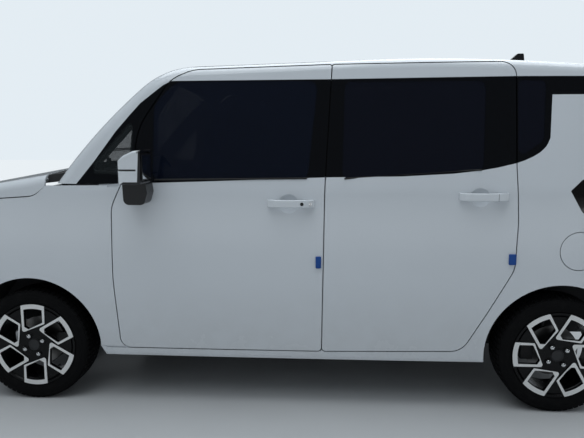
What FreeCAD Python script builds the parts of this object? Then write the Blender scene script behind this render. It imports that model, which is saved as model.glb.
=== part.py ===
import FreeCAD, Part
import math
import os
from FreeCAD import Vector

# Kei car, a tall five-door box van body on four wheels, in millimetres.
# Frame: -X is forward, -Y is the car's left side, +Z is up, and Z = 0 is the ground.
# The origin is on the ground below the middle of the length and of the width.

# Overall sizes
LENGTH = 3595.0
HALF_WIDTH = 797.5
ROOF_HEIGHT = 1700.0
FRONT_OVERHANG = 690.0
WHEELBASE = 2520.0
HALF_TRACK = 695.0
NOSE_X = -LENGTH / 2
TAIL_X = LENGTH / 2
FRONT_AXLE_X = NOSE_X + FRONT_OVERHANG
REAR_AXLE_X = FRONT_AXLE_X + WHEELBASE

# Wheels
TYRE_RADIUS = 278.0
TYRE_WIDTH = 175.0
ARCH_RADIUS = 340.0
WHEEL_Z = TYRE_RADIUS

# Walls and gaps
SEAM = 5.0             # gap between neighbouring panels
DOOR_SKIN = 6.0        # outer sheet of a door, with its folded edge
DOOR_DEPTH = 50.0      # outer face of a door to its inner trim
DOOR_HEM = 30.0        # width of the edge where a door is only its skin
FLANGE_DEPTH = 74.0    # outer face of the body to the flange behind a door's edge
FLANGE_WIDTH = 24.0    # how far that flange reaches in under the door
WALL = 100.0           # whole body side wall
FIT = 0.1              # clearance between pieces that are fastened together
SHARP_DEPTH = 12.0     # inner surfaces deeper than this keep sharp edges
RUNNING = 0.05         # radial clearance of a pin in its bore
ROOF_WALL = 32.0
PANEL_SKIN = 5.0       # wings and bumper covers
BONNET_WALL = 14.0
TAILGATE_WALL = 42.0
GLASS = 5.0
GLASS_SINK = 2.0       # glass lies this far below the painted skin
GLASS_LAP = 10.0       # how far the glass reaches over its frame

# Heights
SILL_Z = 237.0
FLOOR_Z = 285.0
REAR_FLOOR_Z = 500.0
BUMPER_TOP = 618.0

# Body curves
BARREL_RADIUS = 60000.0   # curve of the body side seen from above
BARREL_X = 150.0
NOSE_BARREL_RADIUS = 2600.0
NOSE_BARREL_X = FRONT_AXLE_X - 60.0
TAIL_BARREL_RADIUS = 2200.0
TAIL_BARREL_X = REAR_AXLE_X - 20.0
CROWN_Z = -2600.0         # height of the axis that roof and windscreen are turned about
NOSE_PLAN_RADIUS = 2300.0
TAIL_PLAN_RADIUS = 3600.0
EDGE_RADIUS = 54.0        # rounding along the roof rails, screen pillars and rear pillars
NOSE_EDGE_RADIUS = 50.0   # rounding along the bonnet's shoulders and the front corners


# Outlines. Each row is one corner: (first, second, rounding radius).

# Body side seen from the end: (half width, height, radius)
SIDE_SECTION = [
    (735.0, 120.0, 0.0),
    (777.0, 245.0, 60.0),
    (HALF_WIDTH + 4.5, 640.0, 3000.0),
    (784.0, 1045.0, 400.0),
    (654.0, 1800.0, 0.0),
]
# Nose on the centre line: (x, z, radius)
NOSE_SECTION = [
    (-500.0, 190.0, 0.0),
    (NOSE_X + 100.0, 190.0, 40.0),
    (NOSE_X + 14.0, 310.0, 90.0),
    (NOSE_X - 2.0, 560.0, 500.0),
    (NOSE_X + 24.0, 800.0, 500.0),
    (NOSE_X + 84.0, 1016.0, 110.0),
    (-880.0, 1170.0, 0.0),
    (-500.0, 1170.0, 0.0),
]
# Windscreen and roof on the centre line, closed below and beyond the tail: (x, z, radius)
ROOF_SECTION = [
    (-1250.0, 764.0, 0.0),
    (-781.0, 1384.0, 2500.0),
    (-447.0, 1667.0, 400.0),
    (989.0, 1710.0, 9000.0),
    (1900.0, 1637.0, 0.0),
    (1900.0, 190.0, 0.0),
    (-1250.0, 190.0, 0.0),
]
# Tailgate on the centre line: (x, z, radius)
TAIL_SECTION = [
    (-1300.0, 190.0, 0.0),
    (-1300.0, 1900.0, 0.0),
    (1598.0, 1900.0, 0.0),
    (1632.0, 1560.0, 900.0),
    (1702.0, 1100.0, 1200.0),
    (1742.0, 640.0, 0.0),
    (1742.0, 190.0, 0.0),
]
# Rear bumper on the centre line: (x, z, radius)
BUMPER_SECTION = [
    (1200.0, 235.0, 0.0),
    (1200.0, BUMPER_TOP, 0.0),
    (TAIL_X - 20.0, BUMPER_TOP, 30.0),
    (TAIL_X + 2.0, 500.0, 300.0),
    (TAIL_X - 14.0, 330.0, 120.0),
    (TAIL_X - 95.0, 235.0, 30.0),
]


# Doors, windows and lamps in side view: (x, z, radius)
FRONT_DOOR = [
    (-664.0, 278.0, 50.0),
    (-685.0, 620.0, 900.0),
    (-682.0, 965.0, 150.0),
    (-632.0, 1074.0, 60.0),
    (-574.0, 1135.0, 60.0),
    (-560.0, 1330.0, 300.0),
    (-405.0, 1560.0, 160.0),
    (-300.0, 1604.0, 200.0),
    (349.0, 1623.0, 10.0),
    (319.0, 1060.0, 2600.0),
    (308.0, 280.0, 16.0),
]
REAR_DOOR = [
    (308.0 + SEAM, 280.0, 16.0),
    (319.0 + SEAM, 1060.0, 2600.0),
    (349.0 + SEAM, 1623.0, 10.0),
    (1184.0, 1632.0, 66.0),
    (1185.0, 1160.0, 400.0),
    (1197.0, 900.0, 300.0),
    (1189.0, 690.0, 120.0),
    (1074.0, 478.0, 300.0),
    (968.0, 292.0, 90.0),
]
FRONT_WINDOW = [
    (-474.0, 1105.0, 22.0),
    (-474.0, 1440.0, 90.0),
    (-380.0, 1541.0, 100.0),
    (276.0, 1541.0, 32.0),
    (233.0, 1114.0, 20.0),
]
REAR_WINDOW = [
    (411.0, 1113.0, 20.0),
    (419.0, 1536.0, 24.0),
    (1041.0, 1536.0, 28.0),
    (1029.0, 1152.0, 24.0),
]
FRONT_QUARTER = [
    (-762.0, 1133.0, 10.0),
    (-758.0, 1175.0, 8.0),
    (-588.0, 1362.0, 9.0),
    (-598.0, 1190.0, 60.0),
    (-632.0, 1128.0, 14.0),
]
REAR_QUARTER = [
    (1203.0, 1213.0, 14.0),
    (1203.0, 1538.0, 14.0),
    (1309.0, 1538.0, 16.0),
    (1298.0, 1282.0, 24.0),
]
TAIL_LAMP = [
    (1427.0, 1050.0, 6.0),
    (1480.0, 1100.0, 12.0),
    (1860.0, 1100.0, 0.0),
    (1860.0, 885.0, 0.0),
    (1585.0, 885.0, 30.0),
    (1481.0, 955.0, 40.0),
]
# Panels of the front part in side view: (x, z, radius)
BONNET = [
    (-1950.0, 950.0, 0.0),
    (-1560.0, 982.0, 500.0),
    (-1220.0, 1007.0, 900.0),
    (-1062.0, 1018.0, 90.0),
    (-1008.0, 1062.0, 0.0),
    (-1008.0, 1400.0, 0.0),
    (-1950.0, 1400.0, 0.0),
]
WING = [
    (-1306.0, 552.0, 0.0),
    (-1575.0, 652.0, 0.0),
    (-1575.0, 905.0, 0.0),
    (-1590.0, 945.0, 0.0),
    (-1590.0, 975.0, 0.0),
    (-1560.0, 977.0, 500.0),
    (-1220.0, 1002.0, 900.0),
    (-1062.0, 1013.0, 90.0),
    (-1003.0, 1066.0, 0.0),
    (-640.0, 1069.0, 0.0),
    (-600.0, 1069.0, 0.0),
    (-600.0, 282.0, 0.0),
    (-960.0, 282.0, 0.0),
]
BUMPER_SIDE = [
    (-1301.0, 548.0, 0.0),
    (-1575.0, 647.0, 0.0),
    (-1950.0, 647.0, 0.0),
    (-1950.0, 150.0, 0.0),
    (-1250.0, 150.0, 0.0),
]
# Tailgate seen from behind: (y, z, radius)
TAILGATE = [
    (-655.0, 624.0, 24.0),
    (-662.0, 1080.0, 400.0),
    (-596.0, 1640.0, 0.0),
    (-580.0, 1900.0, 0.0),
    (580.0, 1900.0, 0.0),
    (596.0, 1640.0, 0.0),
    (662.0, 1080.0, 400.0),
    (655.0, 624.0, 24.0),
]
TAILGATE_WINDOW = [
    (-565.0, 1180.0, 40.0),
    (-520.0, 1570.0, 40.0),
    (520.0, 1570.0, 40.0),
    (565.0, 1180.0, 40.0),
]
# Recess of the rear number plate: (y, z, radius)
PLATE_RECESS = [
    (-200.0, 838.0, 14.0),
    (-182.0, 968.0, 14.0),
    (182.0, 968.0, 14.0),
    (200.0, 838.0, 14.0),
]
PLATE_DEPTH = 8.0
# Left body side with its roof rail, seen from the end: (y, z, radius)
SIDE_ZONE = [
    (-1000.0, 150.0, 0.0),
    (-600.0, 150.0, 0.0),
    (-600.0, 1000.0, 0.0),
    (-674.0, 1060.0, 0.0),
    (-596.0, 1620.0, 0.0),
    (-596.0, 1900.0, 0.0),
    (-1000.0, 1900.0, 0.0),
]
TAILGATE_X = 1483.0    # front edge of the tailgate, on the roof
HEADER_X = -505.0      # front edge of the roof panel
ROOF_REAR_X = TAILGATE_X - SEAM


def rounded(corners, place):
    """Closed wire through the corners, with a tangent arc at each corner that has a radius."""
    flat = [Vector(a, b, 0) for a, b, _ in corners]
    count = len(corners)
    ends = []
    for i, (_, _, radius) in enumerate(corners):
        here, before, after = flat[i], flat[i - 1], flat[(i + 1) % count]
        to_before = (before - here).normalize()
        to_after = (after - here).normalize()
        half = to_before.getAngle(to_after) / 2
        if radius <= 0 or half > math.pi / 2 - 1e-6:
            ends.append((here, None, here))
            continue
        reach = radius / math.tan(half)
        bisector = (to_before + to_after).normalize()
        middle = here + bisector * (radius / math.sin(half) - radius)
        ends.append((here + to_before * reach, middle, here + to_after * reach))
    edges = []
    for i, (first, middle, last) in enumerate(ends):
        if middle is not None:
            edges.append(Part.Arc(place(first), place(middle), place(last)).toShape())
        following = ends[(i + 1) % count][0]
        if last.distanceToPoint(following) > 1e-6:
            edges.append(Part.makeLine(place(last), place(following)))
    return Part.Wire(edges)


def inset(corners, depth):
    """The same outline moved inwards by depth, or outwards where depth is negative."""
    if not depth:
        return corners
    flat = [Vector(a, b, 0) for a, b, _ in corners]
    count = len(corners)
    area = sum(flat[i - 1].x * flat[i].y - flat[i].x * flat[i - 1].y for i in range(count))
    turn = 1.0 if area > 0 else -1.0
    lines = []
    for i in range(count):
        along = (flat[(i + 1) % count] - flat[i]).normalize()
        inwards = Vector(-along.y, along.x, 0) * turn
        lines.append((flat[i] + inwards * depth, along))
    moved = []
    for i, (_, _, radius) in enumerate(corners):
        (p, u), (q, v) = lines[i - 1], lines[i]
        cross = u.x * v.y - u.y * v.x
        gap = q - p
        reach = (gap.x * v.y - gap.y * v.x) / cross
        corner = p + u * reach
        new_radius = radius - depth if cross * turn > 0 else radius + depth
        moved.append((corner.x, corner.y, max(new_radius, 0.0) if radius else 0.0))
    return moved


def in_xz(point):
    return Vector(point.x, 0, point.y)


def side_prism(corners, near=-1000.0, far=-300.0):
    """Outline in side view (x, z), extruded along Y."""
    face = Part.Face(rounded(corners, lambda p: Vector(p.x, near, p.y)))
    return face.extrude(Vector(0, far - near, 0))


def end_prism(corners, near, far):
    """Outline in end view (y, z), extruded along X."""
    face = Part.Face(rounded(corners, lambda p: Vector(near, p.x, p.y)))
    return face.extrude(Vector(far - near, 0, 0))


def plan_prism(corners, low, high):
    """Outline seen from above (x, y), extruded along Z."""
    face = Part.Face(rounded(corners, lambda p: Vector(p.x, p.y, low)))
    return face.extrude(Vector(0, 0, high - low))


def box(x0, x1, y0, y1, z0, z1):
    return Part.makeBox(x1 - x0, y1 - y0, z1 - z0, Vector(x0, y0, z0))


def cylinder_y(x, z, radius, y0, y1):
    return Part.makeCylinder(radius, y1 - y0, Vector(x, y0, z), Vector(0, 1, 0))


def mirrored(shape):
    """The same piece on the car's right side."""
    return shape.mirror(Vector(0, 0, 0), Vector(0, 1, 0))


def turned(face, axis_point, axis, start, end):
    """Face turned about an axis from the start angle to the end angle, in degrees."""
    first = face.copy()
    first.rotate(axis_point, axis, start)
    return first.revolve(axis_point, axis, end - start)


def section_line(depth):
    """Outer line of the body side, moved in by depth, closed beyond the centre line."""
    closed = SIDE_SECTION + [(-1000.0, 1800.0, 0.0), (-1000.0, 120.0, 0.0)]
    return inset(closed, depth) if depth else closed


def side_slab(depth, end_x, end_radius, sweep):
    """Everything inboard of the left body side, curved along its length and more tightly beyond end_x."""
    up = Vector(0, 0, 1)
    face = Part.Face(rounded(section_line(depth), lambda p: Vector(BARREL_X, -p.x, p.y)))
    centre = Vector(BARREL_X, BARREL_RADIUS - HALF_WIDTH, 0)
    reach = math.degrees(math.asin((end_x - BARREL_X) / BARREL_RADIUS))
    slab = turned(face, centre, up, -math.copysign(1.35, sweep), reach)
    end_face = face.copy()
    end_face.rotate(centre, up, reach)
    away = Vector(math.sin(math.radians(reach)), -math.cos(math.radians(reach)), 0)
    pivot = centre + away * (BARREL_RADIUS - end_radius)
    return slab.fuse(end_face.revolve(pivot, up, sweep)).removeSplitter()


def sides(depth, end_x, end_radius, sweep):
    left = side_slab(depth, end_x, end_radius, sweep)
    return left.common(mirrored(left))


def crowned(corners, depth):
    """Side-view section turned about the low crown axis, so that its surfaces arch from side to side."""
    face = Part.Face(rounded(inset(corners, depth), in_xz))
    return turned(face, Vector(0, 0, CROWN_Z), Vector(1, 0, 0), -16.0, 16.0)


def bowed(corners, depth, pivot_x):
    """Side-view section turned about an upright axis, so that its end bows from side to side."""
    face = Part.Face(rounded(inset(corners, depth), in_xz))
    return turned(face, Vector(pivot_x, 0, 0), Vector(0, 0, 1), -62.0, 62.0)


def rounded_form(solid, radius, chosen):
    """Solid with its sharp outer edges rounded, where the two faces turn by more than 30 degrees."""
    picked = []
    for edge in solid.Edges:
        faces = solid.ancestorsOfType(edge, Part.Face)
        if len(faces) != 2:
            continue
        point = edge.valueAt((edge.FirstParameter + edge.LastParameter) / 2)
        normals = [f.normalAt(*f.Surface.parameter(point)) for f in faces]
        if math.degrees(normals[0].getAngle(normals[1])) > 30 and chosen(edge, point):
            picked.append(edge)
    return solid.makeFillet(radius, picked)


def cabin_form(depth):
    """The tall part of the body: windscreen, roof, sides and tail."""
    tail = bowed(TAIL_SECTION, depth, 1742.0 - TAIL_PLAN_RADIUS)
    slab = sides(depth, TAIL_BARREL_X, TAIL_BARREL_RADIUS, 52.0)
    solid = crowned(ROOF_SECTION, depth).common(slab).common(tail)
    solid = solid.Solids[0].removeSplitter()
    if depth > SHARP_DEPTH:
        return solid
    low = 195.0 + depth

    def outer(edge, point):
        return point.z > low and point.x > -1235.0 and edge.BoundBox.ZMax > low + 10.0

    return rounded_form(solid, EDGE_RADIUS - depth, outer)


def nose_form(depth):
    """The low front part of the body: bonnet, wings and bumper."""
    slab = sides(depth, NOSE_BARREL_X, NOSE_BARREL_RADIUS, -52.0)
    solid = bowed(NOSE_SECTION, depth, NOSE_X + NOSE_PLAN_RADIUS).common(slab)
    solid = solid.Solids[0].removeSplitter()
    if depth > SHARP_DEPTH:
        return solid

    def outer(edge, point):
        return point.z > 200.0 + depth and point.x < -560.0 and point.z < 1165.0 - depth

    return rounded_form(solid, NOSE_EDGE_RADIUS - depth, outer)


# Hinges. Every side door turns on pins held by two brackets at each of two heights.
HINGE_Y = {"front": -768.0, "rear": -773.0}
HINGE_BACK = 62.0          # hinge axis behind the door's front edge
HINGE_HEIGHTS = (450.0, 850.0)
HINGE_PIN = 5.0
BRACKET = 8.0              # half width of a bracket arm
DOOR_FRONT_X = {"front": -685.0, "rear": 313.0}
TAILGATE_AXIS = (1489.0, 1655.0)
BONNET_AXIS = (-1016.0, 1118.0)


def hinge_x(place):
    return DOOR_FRONT_X[place] + HINGE_BACK


def door_pocket(place, z):
    """Space in the door around one hinge, before the door's lug is left in it."""
    x, y = hinge_x(place), HINGE_Y[place]
    pocket = box(x - 70.0, x + 16.0, y - 30.0, -600.0, z - 32.0, z + 32.0)
    pocket = pocket.common(cabin(DOOR_SKIN))
    lug = Part.makeCylinder(11.0, 20.0, Vector(x, y, z - 10.0))
    lug = lug.fuse(box(x, x + 20.0, y - 9.0, y + 11.0, z - 10.0, z + 10.0))
    lug = lug.cut(Part.makeCylinder(HINGE_PIN + RUNNING, 40.0, Vector(x, y, z - 20.0)))
    return pocket.cut(lug), lug


def door_bracket(place, z):
    """Bracket on the pillar with the pin for one hinge."""
    x, y = hinge_x(place), HINGE_Y[place]
    foot_y = y + 54.0
    foot_x = DOOR_FRONT_X[place] + FLANGE_WIDTH - 10.0
    piece = Part.makeCylinder(HINGE_PIN, 52.0, Vector(x, y, z - 26.0))
    for low in (z - 26.0, z + 10.0 + RUNNING):
        high = low + 16.0 - RUNNING
        arm = Part.makeCylinder(BRACKET, high - low, Vector(x, y, low))
        arm = arm.fuse(box(x - BRACKET, x + BRACKET, y, foot_y + 8.0, low, high))
        arm = arm.fuse(box(foot_x - 14.0, x + BRACKET, foot_y - 2.0, foot_y + 10.0, low, high))
        piece = piece.fuse(arm)
    return piece


cabin_forms = {}
nose_forms = {}


def cabin(depth):
    """Cabin form moved in by depth, made once for each depth."""
    if depth not in cabin_forms:
        cabin_forms[depth] = cabin_form(depth)
    return cabin_forms[depth]


def nose(depth):
    """Nose form moved in by depth, made once for each depth."""
    if depth not in nose_forms:
        nose_forms[depth] = nose_form(depth)
    return nose_forms[depth]


def skin(body, outer, inner, region):
    """The layer of the body form between two depths, inside the region."""
    return body(outer).common(region).cut(body(inner))


# Round hollow behind each handle: centre on the door's face (x, y, z)
HANDLE_DISH = {"front": (155.0, -789.0, 990.0), "rear": (1026.0, -781.0, 1024.0)}
DISH_RADIUS = 83.0
DISH_DEPTH = 16.0
# Arm rest on the inside of each door: (front end, rear end, lower face)
ARM_REST = {"front": (-330.0, 150.0, 790.0), "rear": (480.0, 860.0, 800.0)}
REST_DEPTH = 52.0


def make_door(place, outline, window):
    """One side door: skin, thick inner part with a narrower outline, window opening and hinge lugs."""
    whole = skin(cabin, 0.0, DOOR_SKIN, side_prism(outline))
    inner = skin(cabin, DOOR_SKIN, DOOR_DEPTH, side_prism(inset(outline, DOOR_HEM)))
    door = whole.fuse(inner)
    door = door.cut(side_prism(window))
    rebate = side_prism(inset(window, -GLASS_LAP))
    door = door.cut(rebate.cut(cabin(GLASS_SINK + GLASS + FIT)))
    for z in HINGE_HEIGHTS:
        pocket, lug = door_pocket(place, z)
        door = door.cut(pocket).fuse(lug.common(cabin(DOOR_SKIN - 1.0)))
    x, y, z = HANDLE_DISH[place]
    dish = Part.makeSphere(DISH_RADIUS, Vector(x, y - DISH_RADIUS + DISH_DEPTH, z))
    rest_x0, rest_x1, rest_z = ARM_REST[place]
    rest = box(rest_x0, rest_x1, -752.0, -752.0 + REST_DEPTH, rest_z, rest_z + 62.0)
    rest = rest.makeFillet(12.0, [e for e in rest.Edges if e.BoundBox.YMax > -752.0 + REST_DEPTH - 1.0])
    door = door.cut(dish).fuse(rest)
    glass = skin(cabin, GLASS_SINK, GLASS_SINK + GLASS, side_prism(inset(window, -GLASS_LAP + FIT)))
    return door.removeSplitter(), glass


def make_side_frame():
    """Left side wall: sill, pillars, roof rail and rear quarter, with the hinge pillar behind the wing."""
    region = [
        (-1000.0, 1075.0, 0.0),
        (-600.0, 1075.0, 0.0),
        (-600.0, 273.0, 0.0),
        (-740.0, 273.0, 0.0),
        (-740.0, SILL_Z, 0.0),
        (1780.0, SILL_Z, 0.0),
        (1780.0, 1900.0, 0.0),
        (-1000.0, 1900.0, 0.0),
    ]
    zone = end_prism(SIDE_ZONE, -1100.0, 1850.0)
    wall = skin(cabin, 0.0, WALL, side_prism(region).common(zone))
    pillar_box = box(-745.0, -590.0, -1000.0, -600.0, SILL_Z, 1080.0)
    wall = wall.fuse(skin(cabin, PANEL_SKIN + 1.0, WALL, pillar_box))
    for outline in (FRONT_DOOR, REAR_DOOR):
        gap = side_prism(inset(outline, -SEAM))
        wall = wall.cut(gap.cut(cabin(FLANGE_DEPTH)))
        sweep = side_prism(inset(outline, -SEAM - 9.0)).common(cabin(8.0)).cut(cabin(FLANGE_DEPTH))
        low_front = box(min(c[0] for c in outline) - 30.0, outline[0][0] + 60.0, -1000.0, -600.0, 300.0, 1060.0)
        wall = wall.cut(sweep.common(low_front))
        wall = wall.cut(side_prism(inset(outline, FLANGE_WIDTH)))
    for window in (FRONT_QUARTER, REAR_QUARTER):
        wall = wall.cut(side_prism(window))
        rebate = side_prism(inset(window, -GLASS_LAP))
        wall = wall.cut(rebate.cut(cabin(GLASS_SINK + GLASS + FIT)))
    wall = wall.cut(cylinder_y(REAR_AXLE_X, WHEEL_Z, ARCH_RADIUS, -1000.0, -500.0))
    wall = wall.cut(side_prism(inset(TAIL_LAMP, -1.0), -1000.0, -640.0).cut(cabin(LAMP_DEPTH)))
    tail_cut = end_prism(inset(TAILGATE, -SEAM), ROOF_REAR_X, 1850.0)
    wall = wall.cut(tail_cut)
    wall = wall.cut(screen_prism(SCREEN_LAP + FIT).cut(cabin(GLASS_SINK + GLASS + FIT)))
    wall = wall.cut(bumper_zone(SEAM))
    wall = max(wall.Solids, key=lambda item: item.Volume)
    brackets = [door_bracket(place, z) for place in ("front", "rear") for z in HINGE_HEIGHTS]
    return wall.fuse(brackets).removeSplitter()


LAMP_DEPTH = 30.0
SCREEN_LAP = 12.0
FUEL_X = 1478.0
FUEL_Z = 776.0
FUEL_RADIUS = 86.0


def screen_prism(lap):
    """The windscreen's region, widened by lap on every side."""
    corners = [
        (-674.0, 1060.0, 0.0),
        (674.0, 1060.0, 0.0),
        (596.0, 1620.0, 0.0),
        (596.0, 1900.0, 0.0),
        (-596.0, 1900.0, 0.0),
        (-596.0, 1620.0, 0.0),
    ]
    wide = end_prism(inset(corners, -lap), -1300.0, HEADER_X + lap)
    return wide.common(box(-1300.0, 0.0, -900.0, 900.0, 1128.0 - lap, 2000.0))


def bumper_zone(gap):
    """Lower rear corner region that belongs to the bumper cover, widened by gap."""
    corners = [
        (1628.0 - gap, 100.0, 0.0),
        (1628.0 - gap, BUMPER_TOP + gap, 0.0),
        (1900.0, BUMPER_TOP + gap, 0.0),
        (1900.0, 100.0, 0.0),
    ]
    return side_prism(corners, -1000.0, 1000.0)


TAILGATE_HINGES = (-110.0, 110.0)
TAILGATE_PIN = 4.0


def tailgate_sweep():
    """Space behind the roof panel for the tailgate's front edge as it turns up."""
    x, z = TAILGATE_AXIS
    steps = ((120.0, 22.5), (250.0, 18.5), (400.0, 14.5))
    drums = [cylinder_y(x, z, radius, -reach, reach) for reach, radius in steps]
    return drums[0].fuse(drums[1:])


def tailgate_brackets():
    """Arms below the roof panel that hold the tailgate's pins."""
    x, z = TAILGATE_AXIS
    pieces = []
    for y in TAILGATE_HINGES:
        corners = [
            (x - 50.0, z - 12.0, 0.0),
            (x - 50.0, z - 56.0, 6.0),
            (x + 6.0, z - 56.0, 6.0),
            (x + 6.0, z + 1.0, 5.0),
            (x - 6.0, z + 1.0, 5.0),
            (x - 6.0, z - 36.0, 4.0),
            (x - 16.0, z - 36.0, 4.0),
            (x - 16.0, z - 12.0, 0.0),
        ]
        for low in (y - 22.0, y + 10.0 + RUNNING):
            pieces.append(side_prism(corners, low, low + 12.0 - RUNNING))
        pieces.append(cylinder_y(x, z, TAILGATE_PIN, y - 22.0, y + 22.0))
    return pieces


def tailgate_lugs():
    x, z = TAILGATE_AXIS
    lugs = []
    for y in TAILGATE_HINGES:
        lug = cylinder_y(x, z, 9.0, y - 10.0, y + 10.0)
        lug = lug.fuse(box(x, x + 20.0, y - 10.0, y + 10.0, z - 9.0, z + 9.0))
        lugs.append(lug.cut(cylinder_y(x, z, TAILGATE_PIN + RUNNING, y - 30.0, y + 30.0)))
    return lugs


def tailgate_pockets():
    x, z = TAILGATE_AXIS
    pockets = []
    for y in TAILGATE_HINGES:
        pocket = box(x - 20.0, x + 12.0, y - 27.0, y + 27.0, z - 60.0, z + 8.0)
        pockets.append(pocket)
    return pockets


FLAP_GAP = 3.5
FLAP_DEPTH = TAILGATE_WALL
FLAP_SKIN = 3.4
FLAP_AXIS = (FUEL_X - FUEL_RADIUS - 14.0, -775.4)
FLAP_PIN = 2.4
NECK = 3.0                  # half thickness of the flap's curved arm
NECK_DEPTH = 24.0           # how far the arm dips in from the pin
NECK_REACH = 30.0           # pin to where the arm meets the flap


def fuel_recess():
    """Round pocket for the fuel flap, with room in front for its arm."""
    pocket = cylinder_y(FUEL_X, FUEL_Z, FUEL_RADIUS + FLAP_GAP, -1000.0, -600.0)
    behind = cylinder_y(FUEL_X, FUEL_Z, FUEL_RADIUS + 8.0, -1000.0, -600.0)
    x = FLAP_AXIS[0]
    behind = behind.fuse(box(x - 11.0, x + 40.0, -1000.0, -600.0, FUEL_Z - 24.0, FUEL_Z + 24.0))
    behind = behind.common(cabin(GLASS_SINK))
    return pocket.fuse(behind).cut(cabin(FLAP_DEPTH))


def flap_lug():
    """Arm behind the fuel flap that dips in and forward to its pin."""
    x, y = FLAP_AXIS
    low, high = FUEL_Z - 7.9, FUEL_Z + 7.9
    lug = Part.makeCylinder(5.5, high - low, Vector(x, y, low))
    inwards = box(x - NECK, x + NECK, y, y + NECK_DEPTH, low, high)
    back = box(x - NECK, x + NECK_REACH + NECK, y + NECK_DEPTH - 2 * NECK, y + NECK_DEPTH, low, high)
    out = box(x + NECK_REACH - NECK, x + NECK_REACH + NECK, y - 30.0, y + NECK_DEPTH, low, high)
    bore = Part.makeCylinder(FLAP_PIN + RUNNING, 40.0, Vector(x, y, FUEL_Z - 20.0))
    return lug.fuse([inwards, back, out]).cut(bore).common(cabin(GLASS_SINK))


def flap_bracket():
    """Two cheeks in the pocket's front wall that hold the flap's pin."""
    x, y = FLAP_AXIS
    pieces = [Part.makeCylinder(FLAP_PIN, 32.0, Vector(x, y, FUEL_Z - 16.0))]
    for low in (FUEL_Z - 16.0, FUEL_Z + 8.0 + RUNNING):
        cheek = Part.makeCylinder(4.0, 8.0 - RUNNING, Vector(x, y, low))
        pieces.append(cheek.fuse(box(x - 16.0, x, y - 4.0, y + 4.0, low, low + 8.0 - RUNNING)))
    return pieces


def export(name, shape):
    """Write one sub-part."""
    solids = shape.Solids
    shape = solids[0] if len(solids) == 1 else Part.makeCompound(solids)
    shape.exportStep("parts/" + name + ".step")
    print(name, len(solids), shape.isValid(), round(shape.Volume / 1000), "cm3")


def build_body():
    left = make_side_frame()
    export("side_frame_left", left.cut(fuel_recess()).fuse(flap_bracket()).removeSplitter())
    export("side_frame_right", mirrored(left))
    doors = (("front", FRONT_DOOR, FRONT_WINDOW), ("rear", REAR_DOOR, REAR_WINDOW))
    for place, outline, window in doors:
        door, glass = make_door(place, outline, window)
        for side, turn in (("left", lambda s: s), ("right", mirrored)):
            export("door_" + place + "_" + side, turn(door))
            export("door_glass_" + place + "_" + side, turn(glass))
    panes = []
    for window in (FRONT_QUARTER, REAR_QUARTER):
        lapped = side_prism(inset(window, -GLASS_LAP + FIT))
        pane = skin(cabin, GLASS_SINK, GLASS_SINK + GLASS, lapped)
        panes += [pane, mirrored(pane)]
    export("quarter_windows", Part.makeCompound(panes))
    screen = skin(cabin, GLASS_SINK, GLASS_SINK + GLASS, screen_prism(SCREEN_LAP))
    export("windscreen", screen)
    roof = box(HEADER_X, ROOF_REAR_X, -596.0 + FIT, 596.0 - FIT, 1450.0, 1900.0)
    roof = skin(cabin, 0.0, ROOF_WALL, roof)
    roof = roof.cut(screen_prism(SCREEN_LAP + FIT).cut(cabin(GLASS_SINK + GLASS + FIT)))
    roof = roof.cut(tailgate_sweep()).fuse(tailgate_brackets()).removeSplitter()
    export("roof_panel", roof)
    lamp = skin(cabin, 0.0, LAMP_DEPTH, side_prism(TAIL_LAMP, -1000.0, -662.0 - SEAM))
    export("tail_lamps", Part.makeCompound([lamp, mirrored(lamp)]))
    gate = skin(cabin, 0.0, TAILGATE_WALL, end_prism(TAILGATE, TAILGATE_X, 1850.0))
    window = end_prism(TAILGATE_WINDOW, 1500.0, 1850.0)
    lapped = end_prism(inset(TAILGATE_WINDOW, -GLASS_LAP), 1500.0, 1850.0)
    gate = gate.cut(window).cut(lapped.cut(cabin(GLASS_SINK + GLASS + FIT)))
    gate = gate.cut(end_prism(PLATE_RECESS, 1500.0, 1850.0).cut(cabin(PLATE_DEPTH)))
    gate = gate.cut(tailgate_pockets()).fuse(tailgate_lugs()).removeSplitter()
    export("tailgate", gate)
    lapped = end_prism(inset(TAILGATE_WINDOW, -GLASS_LAP + FIT), 1500.0, 1850.0)
    export("tailgate_glass", skin(cabin, GLASS_SINK, GLASS_SINK + GLASS, lapped))
    flap = cylinder_y(FUEL_X, FUEL_Z, FUEL_RADIUS, -1000.0, -600.0)
    flap = skin(cabin, 0.0, FLAP_SKIN, flap).fuse(flap_lug())
    export("fuel_flap", flap.removeSplitter())


# Front end
FRONT_FACE_HALF = 520.0     # half width of the panel between the head lamps
HEAD_LAMP_LOW = 660.0
HEAD_LAMP_HIGH = 900.0
GRILLE_SLATS = (312.0, 348.0, 384.0, 420.0)
SLAT_HEIGHT = 14.0


def both(left):
    """A left piece and its mirror image, kept as one sub-part."""
    return Part.makeCompound([left, mirrored(left)])


BONNET_HINGES = (-540.0, 540.0)
BONNET_PIN = 4.0


def bonnet_pockets():
    x, z = BONNET_AXIS
    return [box(x - 12.0, x + 20.0, y - 20.0, y + 20.0, z - 40.0, z + 5.0) for y in BONNET_HINGES]


def bonnet_lugs():
    """Eyes below the rear edge of the bonnet for its pins."""
    x, z = BONNET_AXIS
    lugs = []
    for y in BONNET_HINGES:
        lug = cylinder_y(x, z, 8.0, y - 8.0, y + 8.0)
        lug = lug.fuse(box(x - 24.0, x, y - 8.0, y + 8.0, z - 8.0, z + 6.0))
        lugs.append(lug.cut(cylinder_y(x, z, BONNET_PIN + RUNNING, y - 20.0, y + 20.0)))
    return lugs


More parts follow.
